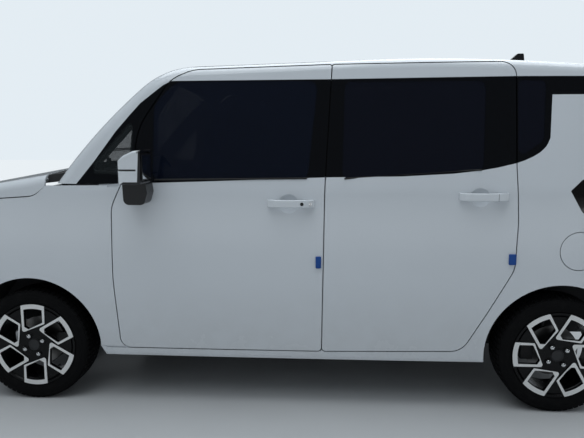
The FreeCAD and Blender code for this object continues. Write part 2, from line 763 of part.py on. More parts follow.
def bonnet_brackets():
    """Arms on the bulkhead that hold the bonnet's pins."""
    x, z = BONNET_AXIS
    pieces = []
    for y in BONNET_HINGES:
        for low in (y - 16.0, y + 8.0 + RUNNING):
            corners = [
                (x - 5.0, z + 4.0, 4.0),
                (x + 5.0, z + 4.0, 4.0),
                (x + 8.0, z - 70.0, 10.0),
                (-750.0, z - 90.0, 0.0),
                (-750.0, z - 110.0, 0.0),
                (x - 5.0, z - 96.0, 20.0),
            ]
            pieces.append(side_prism(corners, low, low + 8.0 - RUNNING))
        pieces.append(cylinder_y(x, z, BONNET_PIN, y - 16.0, y + 16.0))
    return pieces


def front_wheel_cut():
    return cylinder_y(FRONT_AXLE_X, WHEEL_Z, ARCH_RADIUS, -1000.0, 1000.0)


def front_lamp_region(gap):
    """Head lamp at the left front corner, widened by gap."""
    low, high = HEAD_LAMP_LOW - gap, HEAD_LAMP_HIGH + gap
    return box(-1950.0, -1583.0 + gap, -1000.0, -FRONT_FACE_HALF - SEAM + gap, low, high)


def build_front():
    bonnet = skin(nose, 0.0, BONNET_WALL, side_prism(BONNET, -1000.0, 1000.0))
    bonnet = bonnet.cut(bonnet_pockets()).fuse(bonnet_lugs()).removeSplitter()
    export("bonnet", bonnet)
    wing = skin(nose, 0.0, PANEL_SKIN + 1.0, side_prism(WING, -1000.0, -400.0))
    wing = wing.cut(front_wheel_cut()).cut(front_lamp_region(SEAM))
    wing = wing.cut(box(-700.0, 0.0, -1000.0, -300.0, 1060.0, 1200.0))
    door_gap = side_prism(inset(FRONT_DOOR, -SEAM))
    wing = max(wing.cut(door_gap).Solids, key=lambda item: item.Volume)
    export("front_wings", both(wing))
    lamp = skin(nose, 0.0, 50.0, front_lamp_region(0.0))
    export("head_lamps", both(lamp))
    region = side_prism(BUMPER_SIDE, -1000.0, 1000.0)
    region = region.fuse(box(-1950.0, -1583.0, -1000.0, 1000.0, 640.0, 944.0))
    cover = skin(nose, 0.0, PANEL_SKIN + 1.0, region)
    cover = cover.cut(front_wheel_cut())
    corner = front_lamp_region(SEAM)
    cover = cover.cut(corner).cut(mirrored(corner))
    above = box(-1950.0, -1400.0, -1000.0, -FRONT_FACE_HALF, HEAD_LAMP_HIGH, 960.0)
    cover = cover.cut(above).cut(mirrored(above))
    side_strip = box(-1580.0, -1300.0, -1000.0, -FRONT_FACE_HALF, 648.0, 960.0)
    cover = cover.cut(side_strip).cut(mirrored(side_strip))
    cover = cover.cut(box(-1950.0, -1500.0, -470.0, 470.0, 290.0, 470.0))
    cover = cover.cut(box(-1950.0, -1500.0, -500.0, 500.0, 800.0, 880.0))
    cover = max(cover.Solids, key=lambda item: item.Volume)
    export("front_bumper", cover)
    mouth = box(-1950.0, -1500.0, -470.0, 470.0, 290.0, 470.0)
    low = skin(nose, 6.0, 22.0, box(-1950.0, -1500.0, -484.0, 484.0, 276.0, 484.0))
    low = low.cut(mouth.cut(nose(14.0)))
    for z in GRILLE_SLATS:
        low = low.fuse(skin(nose, 6.0, 22.0, box(-1950.0, -1500.0, -480.0, 480.0, z, z + SLAT_HEIGHT)))
    low = low.removeSplitter()
    high = skin(nose, 6.0, 14.0, box(-1950.0, -1500.0, -500.0 + FIT, 500.0 - FIT, 800.0 + FIT, 880.0 - FIT))
    export("front_grilles", Part.makeCompound([low, high]))
    lip = bowed(BUMPER_SECTION, 0.0, TAIL_X - TAIL_PLAN_RADIUS)
    inner = bowed(BUMPER_SECTION, 6.0, TAIL_X - TAIL_PLAN_RADIUS)
    outer_slab = sides(0.0, TAIL_BARREL_X, TAIL_BARREL_RADIUS, 52.0)
    inner_slab = sides(6.0, TAIL_BARREL_X, TAIL_BARREL_RADIUS, 52.0)
    rear = lip.common(outer_slab).common(bumper_zone(0.0))
    rear = rear.cut(inner.common(inner_slab))
    rear = rear.cut(cylinder_y(REAR_AXLE_X, WHEEL_Z, ARCH_RADIUS, -1000.0, 1000.0))
    export("rear_bumper", max(rear.Solids, key=lambda item: item.Volume))
    cowl = skin(nose, 2.0, 32.0, box(-1003.0, -840.0, -735.0, 735.0, 1030.0, 1200.0))
    cowl = cowl.cut(cabin(0.0))
    x, z = BONNET_AXIS
    cowl = cowl.cut(cylinder_y(x, z, 32.0, -700.0, 700.0))
    cowl = max(cowl.Solids, key=lambda item: item.Volume)
    export("cowl", cowl)


def build_floor():
    """Floor, front bulkhead, wheel housings and the rails that carry the front and rear covers."""
    half = 600.0 - FIT
    floor = box(-765.0, 1010.0, -half, half, 250.0, FLOOR_Z)
    rear_floor = box(990.0, 1640.0, -790.0, 790.0, 470.0, REAR_FLOOR_Z)
    step = box(990.0, 1010.0, -790.0, 790.0, FLOOR_Z, REAR_FLOOR_Z)
    rear_panel = box(1620.0, 1640.0, -790.0, 790.0, 300.0, BUMPER_TOP - 6.0 - FIT)
    rear = rear_floor.fuse([step, rear_panel])
    bulkhead = box(-765.0, -745.0 - FIT, -790.0, 790.0, 250.0, 1035.0)
    front = bulkhead
    shelf = box(-1560.0, -765.0, -790.0, -434.0, 884.0, 892.0)
    apron = box(-1560.0, -765.0, -440.0, -434.0, 400.0, 890.0)
    rail = box(-1640.0, -765.0, -440.0, -390.0, 400.0, 500.0)
    frame = box(-1640.0, -1625.0, -515.0, 515.0, 300.0, 900.0)
    tray = box(-1720.0, -1540.0, -760.0, -434.0, 648.0, HEAD_LAMP_LOW - FIT)
    post = box(-1560.0, -1540.0, -450.0, -434.0, 400.0, 890.0)
    frame = frame.cut(box(-1700.0, -1600.0, -380.0, 380.0, 340.0, 860.0))
    beam = box(-1780.0, -1640.0, -500.0, 500.0, 500.0, 560.0)
    front = front.fuse([shelf, mirrored(shelf), tray, mirrored(tray), post, mirrored(post), apron, mirrored(apron), rail, mirrored(rail), frame, beam])
    liners = []
    for axle, wall, end in ((FRONT_AXLE_X, -440.0, 1), (REAR_AXLE_X, -480.0, 2)):
        drum = cylinder_y(axle, WHEEL_Z, ARCH_RADIUS + 12.0, -790.0, wall)
        hollow = cylinder_y(axle, WHEEL_Z, ARCH_RADIUS + 6.0, -800.0, wall - 6.0)
        liner = drum.cut(hollow).cut(box(axle - 400.0, axle + 400.0, -900.0, -300.0, -100.0, 300.0))
        liners += [(liner, end), (mirrored(liner), end)]
    front = front.fuse([item for item, end in liners if end == 1])
    rear = rear.fuse([item for item, end in liners if end == 2])
    for axle, wall in ((FRONT_AXLE_X, -446.0), (REAR_AXLE_X, -486.0)):
        well = cylinder_y(axle, WHEEL_Z, ARCH_RADIUS + 6.0, -900.0, wall)
        front = front.cut(well).cut(mirrored(well))
        rear = rear.cut(well).cut(mirrored(well))
    tower = Part.makeCylinder(58.0, 270.0, Vector(FRONT_AXLE_X, STRUT_Y, 600.0))
    front = front.cut(tower).cut(mirrored(tower))
    slot = box(1040.0, 1140.0, -590.0, -530.0, 230.0, 345.0).fuse(box(1045.0, 1095.0, -590.0, -530.0, 230.0, 470.0))
    tunnel = cylinder_y(REAR_AXLE_X - 150.0, 300.0, 40.0, -600.0, 600.0)
    rear = rear.cut(slot).cut(mirrored(slot)).cut(tunnel)
    front = front.common(nose(PANEL_SKIN + 1.0 + FIT).fuse(box(-760.0, -740.0, -740.0, 740.0, 240.0, 1000.0)))
    rear = rear.common(cabin(WALL + FIT).fuse(box(980.0, 1690.0, -599.0, 599.0, 240.0, 700.0)))
    pan = floor.fuse([front, rear] + bonnet_brackets()).removeSplitter()
    export("floor_pan", pan)


def tyre_profile():
    """Half section of the tyre: (distance along the axle from its middle, radius, rounding)."""
    half = TYRE_WIDTH / 2
    return [
        (-half + 20.0, 190.0, 0.0),
        (-half + 16.5, 207.0, 0.0),
        (-half, 236.0, 0.0),
        (-half + 15.0, TYRE_RADIUS, 0.0),
        (half - 15.0, TYRE_RADIUS, 0.0),
        (half, 236.0, 0.0),
        (half - 16.5, 207.0, 0.0),
        (half - 20.0, 190.0, 0.0),
    ]


def rim_profile():
    """Section of the rim's barrel: (distance along the axle, radius, rounding)."""
    half = TYRE_WIDTH / 2
    return [
        (-half + 10.0, 196.0, 0.0),
        (-half + 10.0, 206.0, 0.0),
        (-half + 16.0, 206.0, 0.0),
        (-half + 19.0, 189.9, 0.0),
        (half - 19.0, 189.9, 0.0),
        (half - 16.0, 206.0, 0.0),
        (half - 10.0, 206.0, 0.0),
        (half - 10.0, 180.0, 0.0),
        (-half + 28.0, 180.0, 0.0),
    ]


def spun(profile):
    """Profile (along, radius, rounding) turned about the axle, which lies along Y."""
    face = Part.Face(rounded(profile, lambda p: Vector(0, p.x, p.y)))
    return face.revolve(Vector(0, 0, 0), Vector(0, 1, 0), 360)


# One window of the wheel, seen from outside: (across, up, radius)
WHEEL_FRAME = [
    (-57.0, 240.0, 0.0),
    (-56.0, 61.0, 10.0),
    (59.0, 107.0, 6.0),
    (64.0, 240.0, 0.0),
]
WHEEL_HOLE = [
    (-43.0, 240.0, 0.0),
    (-44.0, 90.0, 4.0),
    (-24.0, 78.0, 6.0),
    (49.0, 113.0, 8.0),
    (49.0, 240.0, 0.0),
]
FRAME_REACH = 205.5         # outer radius of the raised window frames
HOLE_REACH = 183.0
FRAME_RISE = 5.0            # how far the frames stand out from the wheel disc
HUB_PLANE = -58.0           # inner face of the wheel disc from the wheel's middle, outwards negative
DISC_THICK = 16.0
STUB_RADIUS = 22.0


def wheel_prism(corners, reach, y0, y1):
    """Outline on the wheel's face, extruded along the axle and cut to a circle."""
    face = Part.Face(rounded(corners, lambda p: Vector(p.x, y0, p.y)))
    return face.extrude(Vector(0, y1 - y0, 0)).common(cylinder_y(0.0, 0.0, reach, y0, y1))


def make_rim(first_angle):
    """Wheel with six framed windows, its hub and the brake disc; outside faces -Y, axle through the origin."""
    face_y = HUB_PLANE - DISC_THICK
    barrel = spun(rim_profile())
    plate = cylinder_y(0.0, 0.0, 187.0, face_y, HUB_PLANE)
    frame = wheel_prism(WHEEL_FRAME, FRAME_REACH, face_y - FRAME_RISE, face_y + 2.0)
    hole = wheel_prism(WHEEL_HOLE, HOLE_REACH, face_y - 20.0, HUB_PLANE + 20.0)
    frames = []
    for i in range(6):
        turn = first_angle + 60.0 * i
        for shape, group in ((frame.cut(hole), frames), (hole, None)):
            item = shape.copy()
            item.rotate(Vector(0, 0, 0), Vector(0, 1, 0), turn)
            if group is None:
                plate = plate.cut(item)
            else:
                group.append(item)
    hub = cylinder_y(0.0, 0.0, 40.0, face_y + 2.0, 20.0)
    hub = hub.cut(cylinder_y(0.0, 0.0, STUB_RADIUS + RUNNING, face_y + 12.0, 30.0))
    disc = cylinder_y(0.0, 0.0, 122.0, -2.0, 8.0).cut(cylinder_y(0.0, 0.0, 39.0, -10.0, 20.0))
    return barrel.fuse([plate, hub, disc] + frames).removeSplitter()


def placed_wheel(shape, axle, side):
    """Wheel piece moved from the origin to its axle end; side is -1 for left and 1 for right."""
    shape = shape.copy()
    shape.translate(Vector(axle, -HALF_TRACK, WHEEL_Z))
    return shape if side < 0 else mirrored(shape)


KINGPIN_Y = -632.0
STRUT_Y = -540.0
PIN_RADIUS = 9.0


def build_running_gear():
    tyre = spun(tyre_profile())
    rims = {"front": make_rim(0.0), "rear": make_rim(30.0)}
    for place, axle in (("front", FRONT_AXLE_X), ("rear", REAR_AXLE_X)):
        for side, sign in (("left", -1), ("right", 1)):
            export("tyre_" + place + "_" + side, placed_wheel(tyre, axle, sign))
            export("rim_" + place + "_" + side, placed_wheel(rims[place], axle, sign))
    x = FRONT_AXLE_X
    upright = box(x - 28.0, x + 28.0, -652.0, -612.0, 165.0, 398.0)
    stub = cylinder_y(x, WHEEL_Z, STUB_RADIUS, -HALF_TRACK - 50.0, -640.0)
    carrier = box(x + 20.0, x + 128.0, -655.0, -640.0, 240.0, 318.0)
    calliper = box(x + 92.0, x + 148.0, -712.0, -640.0, 236.0, 322.0)
    slot = box(x + 60.0, x + 128.0, -700.0, -684.0, 200.0, 360.0)
    knuckle = upright.fuse([stub, carrier, calliper.cut(slot)])
    for low, high in ((160.0, 195.0), (368.0, 400.0)):
        bore = Part.makeCylinder(PIN_RADIUS + RUNNING, high - low, Vector(x, KINGPIN_Y, low))
        knuckle = knuckle.cut(bore)
    knuckle = knuckle.removeSplitter()
    export("knuckle_front_left", knuckle)
    export("knuckle_front_right", mirrored(knuckle))
    member = box(x - 60.0, x + 120.0, -410.0, 410.0, 200.0, 262.0)
    legs = box(x + 110.0, -700.0, -430.0, -390.0, 205.0, 250.0 - FIT)
    pieces = [legs, mirrored(legs)]
    lower = box(x - 26.0, x + 26.0, KINGPIN_Y, -400.0, 140.0, 163.0)
    lower = lower.fuse(Part.makeCylinder(26.0, 23.0, Vector(x, KINGPIN_Y, 140.0)))
    lower = lower.fuse(Part.makeCylinder(PIN_RADIUS, 30.0, Vector(x, KINGPIN_Y, 162.0)))
    lower = lower.fuse(box(x - 26.0, x + 26.0, -450.0, -400.0, 140.0, 210.0))
    upper = Part.makeCylinder(26.0, 22.0, Vector(x, KINGPIN_Y, 400.0))
    upper = upper.fuse(box(x - 22.0, x + 22.0, KINGPIN_Y, -520.0, 400.0, 422.0))
    upper = upper.fuse(Part.makeCylinder(PIN_RADIUS, 30.0, Vector(x, KINGPIN_Y, 371.0)))
    strut = Part.makeCylinder(25.0, 884.0 - 400.0 - FIT, Vector(x, STRUT_Y, 400.0))
    coil = Part.makeCylinder(52.0, 230.0, Vector(x, STRUT_Y, 600.0))
    upper = upper.fuse([strut, coil])
    export("front_subframe", member.fuse(pieces + [lower, mirrored(lower)]).removeSplitter())
    export("front_struts", both(upper.removeSplitter()))
    x = REAR_AXLE_X
    tube = cylinder_y(x - 150.0, 300.0, 34.0, -560.0, 560.0)
    arm = box(x - 330.0, x + 30.0, -580.0, -540.0, 262.0, 322.0)
    plate = box(x - 40.0, x + 40.0, -660.0, -560.0, 236.0, 330.0)
    stub = cylinder_y(x, WHEEL_Z, STUB_RADIUS, -HALF_TRACK - 50.0, -650.0)
    calliper = box(x - 148.0, x - 92.0, -712.0, -640.0, 236.0, 322.0)
    slot = box(x - 128.0, x - 60.0, -700.0, -684.0, 200.0, 360.0)
    carrier = box(x - 128.0, x - 20.0, -655.0, -640.0, 240.0, 318.0)
    damper = Part.makeCylinder(20.0, WHEEL_Z + ARCH_RADIUS + 5.2 - 320.0, Vector(x, -530.0, 320.0))
    damper = box(x - 24.0, x + 24.0, -575.0, -505.0, 300.0, 330.0).fuse(damper)
    bush = box(x - 360.0, x - 325.0, -585.0, -535.0, 250.0, 470.0 - FIT)
    side = arm.fuse([plate, stub, calliper.cut(slot), carrier, damper, bush])
    axle = tube.fuse([side, mirrored(side)]).removeSplitter()
    export("rear_axle", axle)


def seat(x0, y0, y1, floor_z, length, back_height, lean):
    """Seat cushion and back as two soft bodies, with a head restraint on the back."""
    width_pad = [
        (x0, floor_z + 90.0, 20.0),
        (x0 - 10.0, floor_z + 230.0, 60.0),
        (x0 + length, floor_z + 205.0, 6.0),
        (x0 + length, floor_z + 90.0, 6.0),
    ]
    cushion = side_prism(width_pad, y0, y1)
    foot = x0 + length
    top = floor_z + 200.0 + back_height
    back = [
        (foot + 0.3, floor_z + 150.0, 4.0),
        (foot + 0.3, floor_z + 190.0, 20.0),
        (foot + lean, top, 40.0),
        (foot + 90.0 + lean, top, 40.0),
        (foot + 130.0, floor_z + 150.0, 30.0),
    ]
    return cushion, side_prism(back, y0, y1), top


def build_cabin():
    bases = [box(600.0, 900.0, -540.0, 540.0, FLOOR_Z + FIT, FLOOR_Z + 189.5)]
    for name, y0, y1 in (("left", -560.0, -80.0), ("right", 80.0, 560.0)):
        cushion, back, top = seat(-330.0, y0, y1, FLOOR_Z + 60.0, 470.0, 560.0, 170.0)
        middle = (y0 + y1) / 2
        rest = side_prism([
            (300.0, top - 10.0, 0.0),
            (310.0, top + 150.0, 30.0),
            (390.0, top + 150.0, 30.0),
            (392.0, top - 10.0, 0.0),
        ], middle - 120.0, middle + 120.0)
        bases.append(box(-280.0, 120.0, y0 + 30.0, y1 - 30.0, FLOOR_Z + FIT, FLOOR_Z + 149.5))
        export("front_seat_" + name, cushion.fuse([back, rest]).removeSplitter())
    cushion, back, top = seat(560.0, -570.0, 570.0, FLOOR_Z + 100.0, 420.0, 480.0, 130.0)
    export("seat_bases", Part.makeCompound(bases))
    export("rear_seat", cushion.fuse(back).removeSplitter())
    section = [
        (-744.0, 700.0, 0.0),
        (-744.0, 1010.0, 0.0),
        (-700.0, 1040.0, 20.0),
        (-560.0, 1040.0, 50.0),
        (-470.0, 940.0, 50.0),
        (-500.0, 700.0, 40.0),
    ]
    board = side_prism(section, -760.0, 760.0).common(cabin(WALL + FIT))
    hood = side_prism([
        (-650.0, 1030.0, 0.0),
        (-632.0, 1078.0, 24.0),
        (-508.0, 1084.0, 14.0),
        (-486.0, 1000.0, 20.0),
        (-520.0, 960.0, 0.0),
    ], STEERING_Y - 150.0, STEERING_Y + 150.0)
    stack = side_prism([
        (-560.0, 560.0, 20.0),
        (-560.0, 1056.0, 10.0),
        (-520.0, 1060.0, 14.0),
        (-440.0, 900.0, 40.0),
        (-400.0, 800.0, 20.0),
        (-430.0, 560.0, 20.0),
    ], -120.0, 120.0)
    board = board.fuse([hood, stack])
    column_axis = Vector(math.cos(math.radians(25.0)), 0, math.sin(math.radians(25.0)))
    wheel_centre = Vector(-300.0, STEERING_Y, 1010.0)
    foot = wheel_centre - column_axis * 260.0
    column = Part.makeCylinder(26.0, 260.0 - 62.0, foot, column_axis)
    pin = Part.makeCylinder(9.0, 25.0, wheel_centre - column_axis * 65.0, column_axis)
    export("dashboard", board.fuse([column, pin]).removeSplitter())
    tip = wheel_centre - column_axis * 20.0
    ring = spun(STEERING_RING)
    ring.Placement = FreeCAD.Placement(tip, FreeCAD.Rotation(Vector(0, 1, 0), column_axis))
    hub = Part.makeCylinder(58.0, 50.0, wheel_centre - column_axis * 60.0, column_axis)
    hub = hub.cut(Part.makeCylinder(9.0 + RUNNING, 27.0, wheel_centre - column_axis * 66.0, column_axis))
    across = Vector(0, 1, 0)
    spoke = Part.makeCylinder(9.0, 345.0, wheel_centre - column_axis * 20.0 - across * 172.5, across)
    down = column_axis.cross(across)
    third = Part.makeCylinder(9.0, 172.0, tip, down)
    export("steering_wheel", ring.fuse([hub, spoke, third]).removeSplitter())


STEERING_Y = 320.0
# Rim of the steering wheel: (along the column, radius, rounding)
STEERING_RING = [
    (-14.0, 171.0, 0.0),
    (-14.0, 184.0, 0.0),
    (-6.0, 192.0, 0.0),
    (6.0, 192.0, 0.0),
    (14.0, 184.0, 0.0),
    (14.0, 171.0, 0.0),
    (6.0, 164.0, 0.0),
    (-6.0, 164.0, 0.0),
]


def build_small():
    engine = box(-1520.0, -1080.0, -360.0, 360.0, 262.0 + FIT, 860.0)
    export("engine_block", engine)
    tank = box(450.0, 980.0, -500.0, 60.0, 170.0, 250.0 - FIT)
    export("fuel_tank", tank.makeFillet(25.0, tank.Edges))
    pipe = cylinder_x(180.0, 205.0, -900.0, 1290.0, 22.0)
    box_shape = box(1200.0, 1600.0, 180.0, 480.0, 170.0, 250.0)
    silencer = box_shape.makeFillet(30.0, box_shape.Edges)
    tail = cylinder_x(420.0, 200.0, 1590.0, 1760.0, 20.0)
    hanger = Part.makeCylinder(7.0, 470.0 - FIT - 245.0, Vector(1400.0, 330.0, 245.0))
    clip = box(190.0, 210.0, 170.0, 190.0, 205.0, 250.0 - FIT)
    export("exhaust", pipe.fuse([silencer, tail, hanger, clip]).removeSplitter())


def cylinder_x(y, z, x0, x1, radius):
    return Part.makeCylinder(radius, x1 - x0, Vector(x0, y, z), Vector(1, 0, 0))


# Door handles: (door, front end, rear end, height)
HANDLES = (("front", 57.0, 275.0, 990.0), ("rear", 929.0, 1149.0, 1023.5))
HANDLE_RISE = 38.0          # outer face of a handle from the door's face
HANDLE_HALF = 18.0

MIRROR_OUT = -990.0
MIRROR_IN = -842.0
MIRROR_HOLLOW = [            # recess that holds the mirror glass, open to the rear
    (-478.0, 1098.0, 0.0),
    (-478.0, 1228.0, 0.0),
    (-440.0, 1228.0, 0.0),
    (-440.0, 1098.0, 0.0),
]


def build_fittings():
    """Door mirrors, handles and the roof aerial."""
    stalk = side_prism([
        (-588.0, 988.0, 26.0),
        (-592.0, 1095.0, 8.0),
        (-486.0, 1095.0, 8.0),
        (-478.0, 1042.0, 20.0),
        (-494.0, 988.0, 24.0),
    ], -880.0, -740.0).cut(cabin(0.0))
    stalk = max(stalk.Solids, key=lambda item: item.Volume)
    cap = side_prism([
        (-592.0, 1088.0, 12.0),
        (-600.0, 1112.0, 16.0),
        (-600.0, 1160.0, 40.0),
        (-550.0, 1212.0, 60.0),
        (-502.0, 1234.0, 60.0),
        (-464.0, 1238.0, 5.0),
        (-474.0, 1088.0, 8.0),
    ], MIRROR_OUT, MIRROR_IN)
    rim = [e for e in cap.Edges if e.BoundBox.YMax < MIRROR_OUT + 1.0 and e.BoundBox.XMin < -480.0]
    cap = cap.makeFillet(12.0, rim)
    cap = cap.common(plan_prism([
        (-598.0, MIRROR_IN, 20.0),
        (-601.0, -905.0, 90.0),
        (-566.0, MIRROR_OUT, 30.0),
        (-470.0, MIRROR_OUT, 5.0),
        (-462.0, MIRROR_IN, 14.0),
    ], 1000.0, 1300.0))
    cap = cap.cut(side_prism(MIRROR_HOLLOW, MIRROR_OUT + 12.0, MIRROR_IN - 12.0))
    mirror_piece = stalk.fuse(cap).removeSplitter()
    export("mirror_left", mirror_piece)
    export("mirror_right", mirrored(mirror_piece))
    for place, x0, x1, z in HANDLES:
        surface = HANDLE_DISH[place][1]
        bar = plan_prism([
            (x0, surface + 20.0, 0.0),
            (x0, surface - 14.0, 14.0),
            (x0 + 34.0, surface - HANDLE_RISE, 60.0),
            (x1 - 34.0, surface - HANDLE_RISE, 60.0),
            (x1, surface - 14.0, 14.0),
            (x1, surface + 20.0, 0.0),
        ], z - HANDLE_HALF, z + HANDLE_HALF)
        bar = bar.makeFillet(5.0, [e for e in bar.Edges if e.BoundBox.YMin < surface - 15.0])
        grip = plan_prism([
            (x0 + 42.0, surface + 30.0, 0.0),
            (x0 + 42.0, surface - 8.0, 10.0),
            (x0 + 62.0, surface - HANDLE_RISE + 14.0, 30.0),
            (x1 - 76.0, surface - HANDLE_RISE + 14.0, 30.0),
            (x1 - 56.0, surface - 8.0, 10.0),
            (x1 - 56.0, surface + 30.0, 0.0),
        ], z - 40.0, z + 40.0)
        bar = bar.cut(grip).cut(cabin(0.0))
        export("handle_" + place + "_left", bar)
        export("handle_" + place + "_right", mirrored(bar))
    fin = side_prism([
        (1325.0, 1660.0, 0.0),
        (1332.0, 1700.0, 10.0),
        (1395.0, 1756.0, 12.0),
        (1428.0, 1756.0, 6.0),
        (1440.0, 1660.0, 0.0),
    ], -16.0, 16.0).cut(cabin(0.0))
    export("aerial", max(fin.Solids, key=lambda item: item.Volume))


os.makedirs("parts", exist_ok=True)
build_body()
build_front()
build_floor()
build_running_gear()
build_cabin()
build_small()
build_fittings()
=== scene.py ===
"""Looks of a tall five-door kei car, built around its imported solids, in metres."""

import logging
import math
from contextlib import contextmanager
from dataclasses import dataclass, field
from enum import Enum
from typing import Callable, Iterator, Optional, Sequence

import bmesh
import bpy
from mathutils import Matrix, Vector
from mathutils.bvhtree import BVHTree


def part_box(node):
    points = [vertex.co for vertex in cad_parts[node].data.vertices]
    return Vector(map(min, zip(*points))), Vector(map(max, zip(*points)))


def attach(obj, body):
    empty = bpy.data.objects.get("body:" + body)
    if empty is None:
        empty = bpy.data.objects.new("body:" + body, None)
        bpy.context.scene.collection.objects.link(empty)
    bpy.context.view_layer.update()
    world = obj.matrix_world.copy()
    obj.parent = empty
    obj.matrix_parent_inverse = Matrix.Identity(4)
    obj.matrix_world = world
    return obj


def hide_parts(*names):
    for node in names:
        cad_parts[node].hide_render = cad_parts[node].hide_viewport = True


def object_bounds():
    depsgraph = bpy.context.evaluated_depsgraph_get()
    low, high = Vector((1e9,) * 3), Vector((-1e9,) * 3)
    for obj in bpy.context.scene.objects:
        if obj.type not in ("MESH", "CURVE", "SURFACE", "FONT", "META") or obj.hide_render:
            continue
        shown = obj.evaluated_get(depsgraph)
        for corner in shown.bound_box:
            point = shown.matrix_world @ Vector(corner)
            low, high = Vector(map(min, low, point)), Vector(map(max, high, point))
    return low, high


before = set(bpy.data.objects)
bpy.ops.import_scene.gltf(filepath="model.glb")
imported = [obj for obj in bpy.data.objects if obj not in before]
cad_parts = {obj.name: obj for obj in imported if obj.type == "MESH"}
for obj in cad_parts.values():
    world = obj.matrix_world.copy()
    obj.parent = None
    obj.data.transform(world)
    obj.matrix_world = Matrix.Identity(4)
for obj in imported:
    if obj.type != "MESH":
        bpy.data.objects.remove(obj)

log = logging.getLogger("kei_car")
logging.basicConfig(level=logging.INFO, format="%(message)s")

Row = Sequence[float]
Colour = tuple[float, float, float]
Test = Callable[[Vector, Vector], bool]

FRONT_AXLE = -1.1075
REAR_AXLE = 1.4125
WHEEL_Z = 0.278
HALF_TRACK = 0.695
CAD_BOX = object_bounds()


class Side(Enum):
    """Left or right half of the car, with the sign of its Y."""

    LEFT = -1
    RIGHT = 1

    @property
    def word(self) -> str:
        """The side's name as the nodes and bodies spell it."""
        return self.name.lower()


# Finishes


class Wire:
    """A shader socket on which sums, products and comparisons add Math nodes."""

    def __init__(self, shader: "Shader", socket: bpy.types.NodeSocket) -> None:
        """Keeps the socket and the shader that it belongs to."""
        self.shader = shader
        self.socket = socket

    def math(self, operation: str, *values: object, clamp: bool = False) -> "Wire":
        """Adds one Math node.

        Args:
            operation: Blender's name of the operation.
            values: What fills the node's sockets, in order.
            clamp: Whether the result is kept between 0 and 1.

        Returns:
            The node's result.
        """
        settings = {"operation": operation, "use_clamp": clamp}
        return self.shader.add("ShaderNodeMath", settings, dict(enumerate(values)))[0]

    def __add__(self, other: object) -> "Wire":
        """Sum."""
        return self.math("ADD", self, other)

    def __sub__(self, other: object) -> "Wire":
        """Difference."""
        return self.math("SUBTRACT", self, other)

    def __rsub__(self, other: object) -> "Wire":
        """Difference from a number."""
        return self.math("SUBTRACT", other, self)

    def __mul__(self, other: object) -> "Wire":
        """Product."""
        return self.math("MULTIPLY", self, other)

    def __truediv__(self, other: object) -> "Wire":
        """Quotient."""
        return self.math("DIVIDE", self, other)

    def __abs__(self) -> "Wire":
        """Distance from zero."""
        return self.math("ABSOLUTE", self)

    __radd__ = __add__
    __rmul__ = __mul__

    def step(self, low: float, high: float) -> "Wire":
        """A ramp from 0 at low to 1 at high."""
        return self.math("MULTIPLY", self - low, 1.0 / (high - low), clamp=True)

    def sine(self) -> "Wire":
        """Sine of the value."""
        return self.math("SINE", self)

    def root(self) -> "Wire":
        """Square root of the value."""
        return self.math("SQRT", self)


